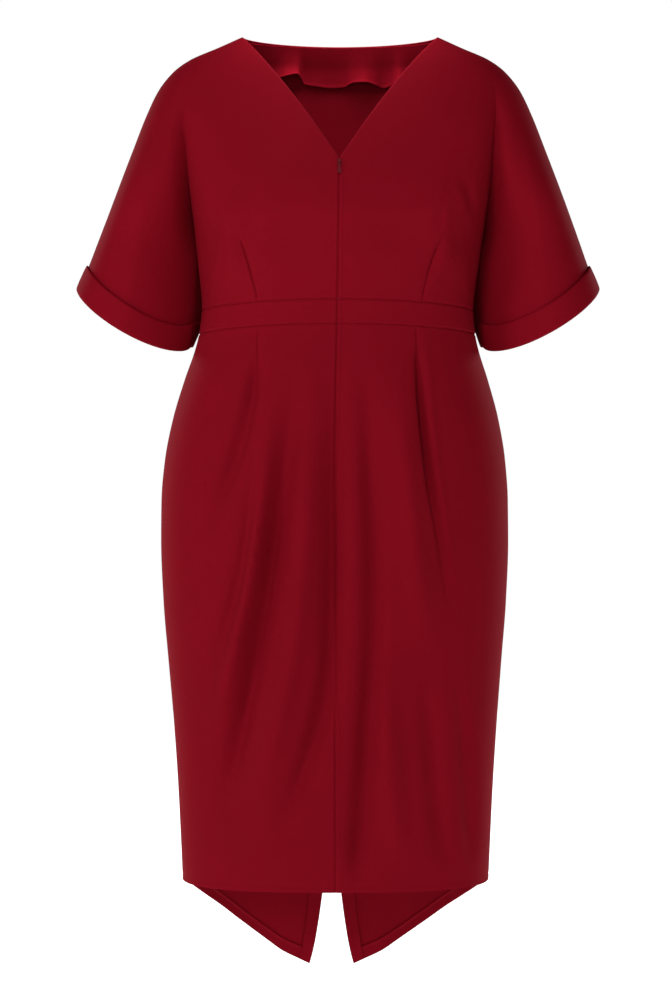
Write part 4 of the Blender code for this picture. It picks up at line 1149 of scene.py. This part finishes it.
def repeated(name, slot, lines, finish, **sizes):
    """A mesh of beads or stitches along lines of points, made by the tree and then made plain."""
    tree = bpy.data.node_groups.get("repeat_along_line") or repeat_tree()
    points, edges = [], []
    for line in lines:
        first = len(points)
        points += np.asarray(line).tolist()
        edges += [(k, k + 1) for k in range(first, len(points) - 1)]
    mesh = bpy.data.meshes.new(f"{name}_path")
    mesh.from_pydata(points, edges, [])
    path = bpy.data.objects.new(f"{name}_path", mesh)
    bpy.context.scene.collection.objects.link(path)
    maker = path.modifiers.new("repeat", "NODES")
    maker.node_group = tree
    wanted = {key.title(): value for key, value in sizes.items()} | {"Material": finish}
    for item in tree.interface.items_tree:
        if item.in_out == "INPUT" and item.name in wanted:
            maker[item.identifier] = wanted[item.name]
    path.update_tag()
    evaluated = path.evaluated_get(bpy.context.evaluated_depsgraph_get())
    plain = bpy.data.meshes.new_from_object(evaluated)
    path.modifiers.remove(maker)
    bpy.data.objects.remove(path)
    plain.name = name
    if not plain.polygons:
        raise RuntimeError(f"{name} came out empty")
    if not plain.materials:
        plain.materials.append(finish)
    thing = bpy.data.objects.new(name, plain)
    bpy.context.scene.collection.objects.link(thing)
    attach(thing, "dress")


# ---------------------------------------------------------------- what a user may change

class ClothLooks(bpy.types.PropertyGroup):
    """Colours of the cloth, tape and metal."""

    cloth: FloatVectorProperty(
        name="Cloth", description="Colour of the crepe", subtype="COLOR", size=3,
        min=0.0, max=1.0, default=linear("#7c0818")[:3],
    )
    tape: FloatVectorProperty(
        name="Tape", description="Colour of the zip tape and coil", subtype="COLOR", size=3,
        min=0.0, max=1.0, default=linear("#6e0c1b")[:3],
    )
    lacquer: FloatVectorProperty(
        name="Lacquer", description="Colour of the slider's lacquer", subtype="COLOR", size=3,
        min=0.0, max=1.0, default=linear("#5c0914")[:3],
    )
    metal: FloatVectorProperty(
        name="Bare metal", description="Colour of bare metal where lacquer has rubbed off",
        subtype="COLOR", size=3, min=0.0, max=1.0, default=linear("#a89494")[:3],
    )


class ClothSizes(bpy.types.PropertyGroup):
    """Thickness of the cloth and fineness of its mesh."""

    cloth: FloatProperty(
        name="Cloth", description="Thickness of one layer of crepe", default=0.0016,
        min=0.0008, max=0.003, unit="LENGTH", subtype="DISTANCE", precision=4,
    )
    light_cloth: FloatProperty(
        name="Allowances", description="Thickness of facings and turned-up allowances",
        default=0.0009, min=0.0004, max=0.002, unit="LENGTH", subtype="DISTANCE", precision=4,
    )
    pitch: FloatProperty(
        name="Pitch", description="Distance between rows of the bodice's mesh", default=0.0034,
        min=0.002, max=0.02, unit="LENGTH", subtype="DISTANCE", precision=4,
    )
    stitch: FloatProperty(
        name="Stitch", description="Length of one stitch", default=0.0026,
        min=0.0015, max=0.006, unit="LENGTH", subtype="DISTANCE", precision=4,
    )
    seed: IntProperty(
        name="Seed", description="Seed of the small unevenness of stitches", default=7, min=0,
    )


class StudioLooks(bpy.types.PropertyGroup):
    """Light and camera."""

    key_power: FloatProperty(
        name="Key light", description="Power of the light at the left of the dress",
        default=27.0, min=0.0, unit="POWER",
    )
    fill_power: FloatProperty(
        name="Fill light", description="Power of the light above the camera",
        default=18.0, min=0.0, unit="POWER",
    )
    top_power: FloatProperty(
        name="Top light", description="Power of the light above the neck",
        default=9.0, min=0.0, unit="POWER",
    )
    neck_power: FloatProperty(
        name="Neck light", description="Power of the small light into the neck",
        default=0.65, min=0.0, unit="POWER",
    )
    back_power: FloatProperty(
        name="Back lights", description="Power of each light behind the dress",
        default=60.0, min=0.0, unit="POWER",
    )
    air: FloatProperty(
        name="Air", description="Strength of the even light of the room", default=0.05,
        min=0.0, max=2.0,
    )
    # painted light: how strongly the floor paper glows in front of the dress
    paper_painted_glow: FloatProperty(
        name="Paper glow", description="Light that the glowing paper gives off", default=0.74,
        min=0.0, max=2.0,
    )
    lens: FloatProperty(
        name="Lens", description="Focal length of the camera", default=90.0, min=20.0, max=300.0,
        subtype="DISTANCE_CAMERA",
    )


# ---------------------------------------------------------------- operators

class DRESS_OT_stage(bpy.types.Operator):
    """Sets up the floor, soft studio light and the camera"""

    bl_idname = "dress.stage"
    bl_label = "Stage"

    def execute(self, context):
        studio = context.scene.dress_studio
        turns = np.linspace(0.0, 2 * math.pi, FLOOR_SIDES, endpoint=False)
        points = [(FLOOR_RADIUS * math.cos(a), FLOOR_RADIUS * math.sin(a), FLOOR_Z) for a in turns]
        floor = mesh_object("studio_floor", points, [tuple(range(len(points)))])
        # the floor's paper gives off painted light
        floor.data.materials.append(finish_named("studio_paper", studio_paper, studio.paper_painted_glow))
        for name, place, target, size, strength in LIGHTS:
            self.light(name, Vector(place), Vector(target), size, getattr(studio, strength))
        context.scene.world = self.air(studio.air)
        camera = bpy.data.objects.new("camera", bpy.data.cameras.new("camera"))
        camera.data.lens = studio.lens
        camera.data.sensor_fit = "VERTICAL"
        camera.data.sensor_height = SENSOR_HEIGHT
        camera.location = CAMERA_PLACE
        camera.rotation_euler = (math.pi / 2, 0.0, 0.0)
        context.scene.collection.objects.link(camera)
        context.scene.camera = camera
        context.scene.view_settings.view_transform = "Standard"
        return {"FINISHED"}

    def light(self, name, place, target, size, strength):
        lamp = bpy.data.lights.new(name, "AREA")
        lamp.shape, lamp.size, lamp.energy = "DISK", size, strength
        thing = bpy.data.objects.new(name, lamp)
        thing.location = place
        thing.visible_camera = False
        thing.rotation_euler = (target - place).to_track_quat("-Z", "Y").to_euler()
        bpy.context.scene.collection.objects.link(thing)

    def air(self, strength):
        """A world that is plain white to the camera and lights the dress more dimly."""
        world = bpy.data.worlds.new("studio_air")
        world.use_nodes = True
        nodes, links = world.node_tree.nodes, world.node_tree.links
        air, paper = nodes["Background"], nodes.new("ShaderNodeBackground")
        for light, power_of_it in ((air, strength), (paper, 1.0)):
            light.inputs["Color"].default_value = (1.0, 1.0, 1.0, 1.0)
            light.inputs["Strength"].default_value = power_of_it
        either, path = nodes.new("ShaderNodeMixShader"), nodes.new("ShaderNodeLightPath")
        links.new(path.outputs["Is Camera Ray"], either.inputs[0])
        links.new(air.outputs[0], either.inputs[1])
        links.new(paper.outputs[0], either.inputs[2])
        links.new(either.outputs[0], nodes["World Output"].inputs["Surface"])
        return world


def sewn_piece(context, cloth, name, node, cut, lift=0.0):
    """A cloth panel, finished in crepe."""
    thing = cloth.sewn(name, context.scene.dress_sizes.cloth, lift)
    cloth_piece(thing, node, crepe_finish(context))


class DRESS_OT_bodice(bpy.types.Operator):
    """Makes the bodice with its cut-on sleeves: two fronts and a back in one piece"""

    bl_idname = "dress.bodice"
    bl_label = "Bodice"

    def execute(self, context):
        pitch, back = context.scene.dress_sizes.pitch, Cloth("back")
        for name, side in SIDES:
            front = Cloth("front")
            bodice_grids(front, name, side, pitch)
            names = f"front_bodice_cloth_{name}", f"bodice_front_{name}"
            sewn_piece(context, front, *names, "bodice_front")
            bodice_grids(back, name, side, pitch)
        sewn_piece(context, back, "back_bodice_cloth", "bodice_back", "bodice_back")
        return {"FINISHED"}


class DRESS_OT_waistband(bpy.types.Operator):
    """Makes the waistband: two fronts and a back"""

    bl_idname = "dress.waistband"
    bl_label = "Waistband"

    def execute(self, context):
        heights, back = levels(WAIST_TOP_Z, WAIST_BOTTOM_Z, BAND_PITCH), Cloth("back")
        for name, side in SIDES:
            front = Cloth("front")
            for cloth in (front, back):
                panel_grid(cloth, "bodice", name, side, heights, BAND_COUNTS, band=True)
            names = f"front_band_cloth_{name}", f"waistband_front_{name}"
            sewn_piece(context, front, *names, "waistband_front", BAND_LIFT)
        names = "back_band_cloth", "waistband_back"
        sewn_piece(context, back, *names, "waistband_back", BAND_LIFT)
        return {"FINISHED"}


class DRESS_OT_skirt(bpy.types.Operator):
    """Makes the skirt: four panels, with the turned-up hem and faced split inside the tails"""

    bl_idname = "dress.skirt"
    bl_label = "Skirt"

    def execute(self, context):
        heights = levels(WAIST_BOTTOM_Z, FRONT_HEM_Z, FRONT_SKIRT_PITCH)
        for name, side in SIDES:
            cloth = Cloth("front")
            panel_grid(cloth, "skirt", name, side, heights, FRONT_SKIRT_COUNTS)
            names = f"front_skirt_cloth_{name}", f"skirt_front_{name}"
            sewn_piece(context, cloth, *names, "skirt_front")
            cloth, back = Cloth("back"), BackPanel(name)
            back_skirt_grid(cloth, back, name, side)
            names = f"back_skirt_cloth_{name}", f"skirt_back_{name}"
            sewn_piece(context, cloth, *names, "skirt_back")
            self.tail_hem(context, back, name, side)
            self.split_facing(context, back, name, side)
        return {"FINISHED"}

    def tail_hem(self, context, back, name, side):
        """The hem's allowance lies inside the panel, thicker at its turned edge."""
        sizes = context.scene.dress_sizes
        over = back.at(back.ats, back.hem)
        inside = over > SPLIT_FACING * 0.55
        shares = np.array([1.06, 1.0, 0.97, 0.9, 0.75, 0.6, 0.45, 0.3, 0.18, 0.09, 0.04, 0.0])
        grid, normals = hem_rows(back, side, shares)
        thick = sizes.light_cloth + 0.0007 * bell(shares - 1.0, 0.10)
        thing = strip(
            f"tail_hem_cloth_{name}", grid[:, inside], normals[:, inside], thick[:, None],
            -sizes.cloth - 0.0001, over[inside] * side,
        )
        self.finish(context, thing, "tail_hem", name)

    def split_facing(self, context, back, name, side):
        """The split's facing lies inside the panel, and over the hem's allowance at its end."""
        sizes = context.scene.dress_sizes
        count = np.searchsorted(back.ats[-1], SPLIT_FACING * 1.02) + 1
        top, shares, at = SPLIT_TOP_Z + 0.02, np.linspace(0.0, 1.0, 90), back.ats[-1][:count]
        rows = [back.row(top + (back.hem - top) * share)[:count] for share in shares]
        grid, normals = folded_in(np.array(rows) * (side, OUTWARD["back"], 1), "back")
        over_hem = sizes.light_cloth * ease((shares[:, None] - 0.86) / 0.04)
        thing = strip(
            f"split_facing_cloth_{name}", grid, normals,
            sizes.light_cloth + 0.0006 * bell(at - at[-1], 0.0016),
            -sizes.cloth - 0.0002 - over_hem, at * side,
        )
        self.finish(context, thing, "split_facing", name)

    def finish(self, context, thing, cut, name):
        cloth_piece(thing, f"{cut}_{name}", crepe_finish(context))


def hem_rows(back, side, shares):
    """Rows over the back hem at these shares of its allowance, with the folds pressed in."""
    rows = [back.row(back.hem + HEM_ALLOWANCE * share) for share in shares]
    return folded_in(np.array(rows) * (side, OUTWARD["back"], 1), "back")


class DRESS_OT_cuffs(bpy.types.Operator):
    """Makes the turned-back cuffs"""

    bl_idname = "dress.cuffs"
    bl_label = "Cuffs"

    def execute(self, context):
        for name, side in SIDES:
            thing = cuff_mesh(f"cuff_cloth_{name}", side)
            cloth_piece(thing, f"cuff_{name}", crepe_finish(context))
        return {"FINISHED"}


class DRESS_OT_facing(bpy.types.Operator):
    """Makes the back neck facing that hangs free inside the back"""

    bl_idname = "dress.facing"
    bl_label = "Back neck facing"

    def execute(self, context):
        thing, finish = facing_mesh("neck_facing_cloth"), crepe_finish(context)
        cloth_piece(thing, "back_neck_facing", finish)
        return {"FINISHED"}


def front_line(side, across, top, bottom, inset):
    """Points down the centre front, a distance out from the seam and inset from the cloth."""
    points = []
    for z in np.arange(top, bottom, -LINE_STEP):
        line = level_line("front", z) if z < WAIST_TOP_Z else bodice_lines("front", z)[0]
        x, y, height = sampled(line, np.array([across]))[0]
        points.append((x * side, -(y - inset), height))
    return np.array(points)


class DRESS_OT_zip(bpy.types.Operator):
    """Makes the concealed zip: its tapes, coil and stitches, and lacquers its slider and pull tab"""

    bl_idname = "dress.zip"
    bl_label = "Zip"

    def execute(self, context):
        sizes, looks = context.scene.dress_sizes, context.scene.dress_looks
        tape = finish_named("zip_tape_weave", tape_weave, looks)
        coil = finish_named("nylon_coil", coil_nylon, looks)
        sewing = finish_named("matching_thread", thread, looks)
        top, bottom, seam_lines = -V_DEPTH - 0.003, ZIP_END_Z + 0.015, []
        for name, side in SIDES:
            lines = [front_line(side, spot, top, bottom, 0.0) for spot in TAPE_SPOTS]
            grid, normals = folded_in(np.stack(lines, axis=1), "front")
            thing = strip(
                f"zip_tape_cloth_{name}", grid, normals, TAPE_THICKNESS,
                -sizes.cloth - TAPE_GAP, TAPE_SPOTS * side,
            )
            cloth_piece(thing, f"zip_tape_{name}", tape)
            inwards = normals[:, TAPE_SEWN_AT] * (sizes.cloth + STITCH_INSET)
            seam_lines.append(hung(grid[:, TAPE_SEWN_AT] - inwards))
        ends = SLIDER_Z - 0.003, ZIP_END_Z + 0.020
        middle = front_line(1, 0.0, *ends, sizes.cloth + COIL_INSET)
        middle[:, 1] -= fold_height("front", middle[:, 0], middle[:, 2])
        repeated(
            "zip_coil", "zip_tape", [hung(middle)], coil, spacing=0.0013, length=0.0010,
            width=0.0042, height=0.0013, slant=0.0, uneven=0.0, seed=sizes.seed,
        )
        repeated(
            "zip_stitches", "crepe", seam_lines, sewing, spacing=0.0032, length=sizes.stitch,
            width=0.00045, height=0.00035, slant=0.06, uneven=0.05, seed=sizes.seed,
        )
        # the slider and pull tab keep their own solids and get their lacquer
        for node, share in (("zip_slider", -0.06), ("zip_pull_tab", -0.08)):
            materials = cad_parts[node].data.materials
            materials.clear()
            materials.append(lacquered(looks, f"lacquer_{node}", share))
        return {"FINISHED"}


class DRESS_OT_stitches(bpy.types.Operator):
    """Makes the stitches of the tails' hem, which show inside"""

    bl_idname = "dress.stitches"
    bl_label = "Stitches"

    def execute(self, context):
        sizes, lines = context.scene.dress_sizes, []
        for name, side in SIDES:
            back = BackPanel(name)
            grid, normals = hem_rows(back, side, (1.02, 1.0, 0.86))
            inside = back.at(back.ats, back.hem) > SPLIT_FACING
            under = sizes.cloth + sizes.light_cloth + 0.0002
            lines.append(hung(grid[2, inside] - normals[2, inside] * under))
        sewing = finish_named("matching_thread", thread, context.scene.dress_looks)
        repeated(
            "tail_hem_stitches", "crepe", lines, sewing, spacing=0.0040, length=sizes.stitch,
            width=0.0004, height=0.0003, slant=0.35, uneven=0.08, seed=sizes.seed,
        )
        return {"FINISHED"}


class DRESS_PT_panel(bpy.types.Panel):
    """Lists the makers of the dress and what they can change"""

    bl_label = "Sheath Dress"
    bl_idname = "DRESS_PT_panel"
    bl_space_type = "VIEW_3D"
    bl_region_type = "UI"
    bl_category = "Dress"

    def draw(self, context):
        scene = context.scene
        for group in (scene.dress_looks, scene.dress_sizes, scene.dress_studio):
            box = self.layout.box()
            for name in group.bl_rna.properties.keys():
                if name not in ("rna_type", "name"):
                    box.prop(group, name)
        column = self.layout.column(align=True)
        for operator in OPERATORS:
            column.operator(operator.bl_idname)


OPERATORS = (
    DRESS_OT_stage, DRESS_OT_bodice, DRESS_OT_waistband, DRESS_OT_skirt, DRESS_OT_cuffs,
    DRESS_OT_facing, DRESS_OT_zip, DRESS_OT_stitches,
)
GROUPS = {"dress_looks": ClothLooks, "dress_sizes": ClothSizes, "dress_studio": StudioLooks}


def register():
    for kind in (*GROUPS.values(), *OPERATORS, DRESS_PT_panel):
        bpy.utils.register_class(kind)
    for name, kind in GROUPS.items():
        setattr(bpy.types.Scene, name, PointerProperty(type=kind))


def unregister():
    for name in GROUPS:
        delattr(bpy.types.Scene, name)
    for kind in reversed((*GROUPS.values(), *OPERATORS, DRESS_PT_panel)):
        bpy.utils.unregister_class(kind)


def main():
    register()
    for operator in OPERATORS:
        group, name = operator.bl_idname.split(".")
        getattr(getattr(bpy.ops, group), name)()


if __name__ == "__main__":
    main()
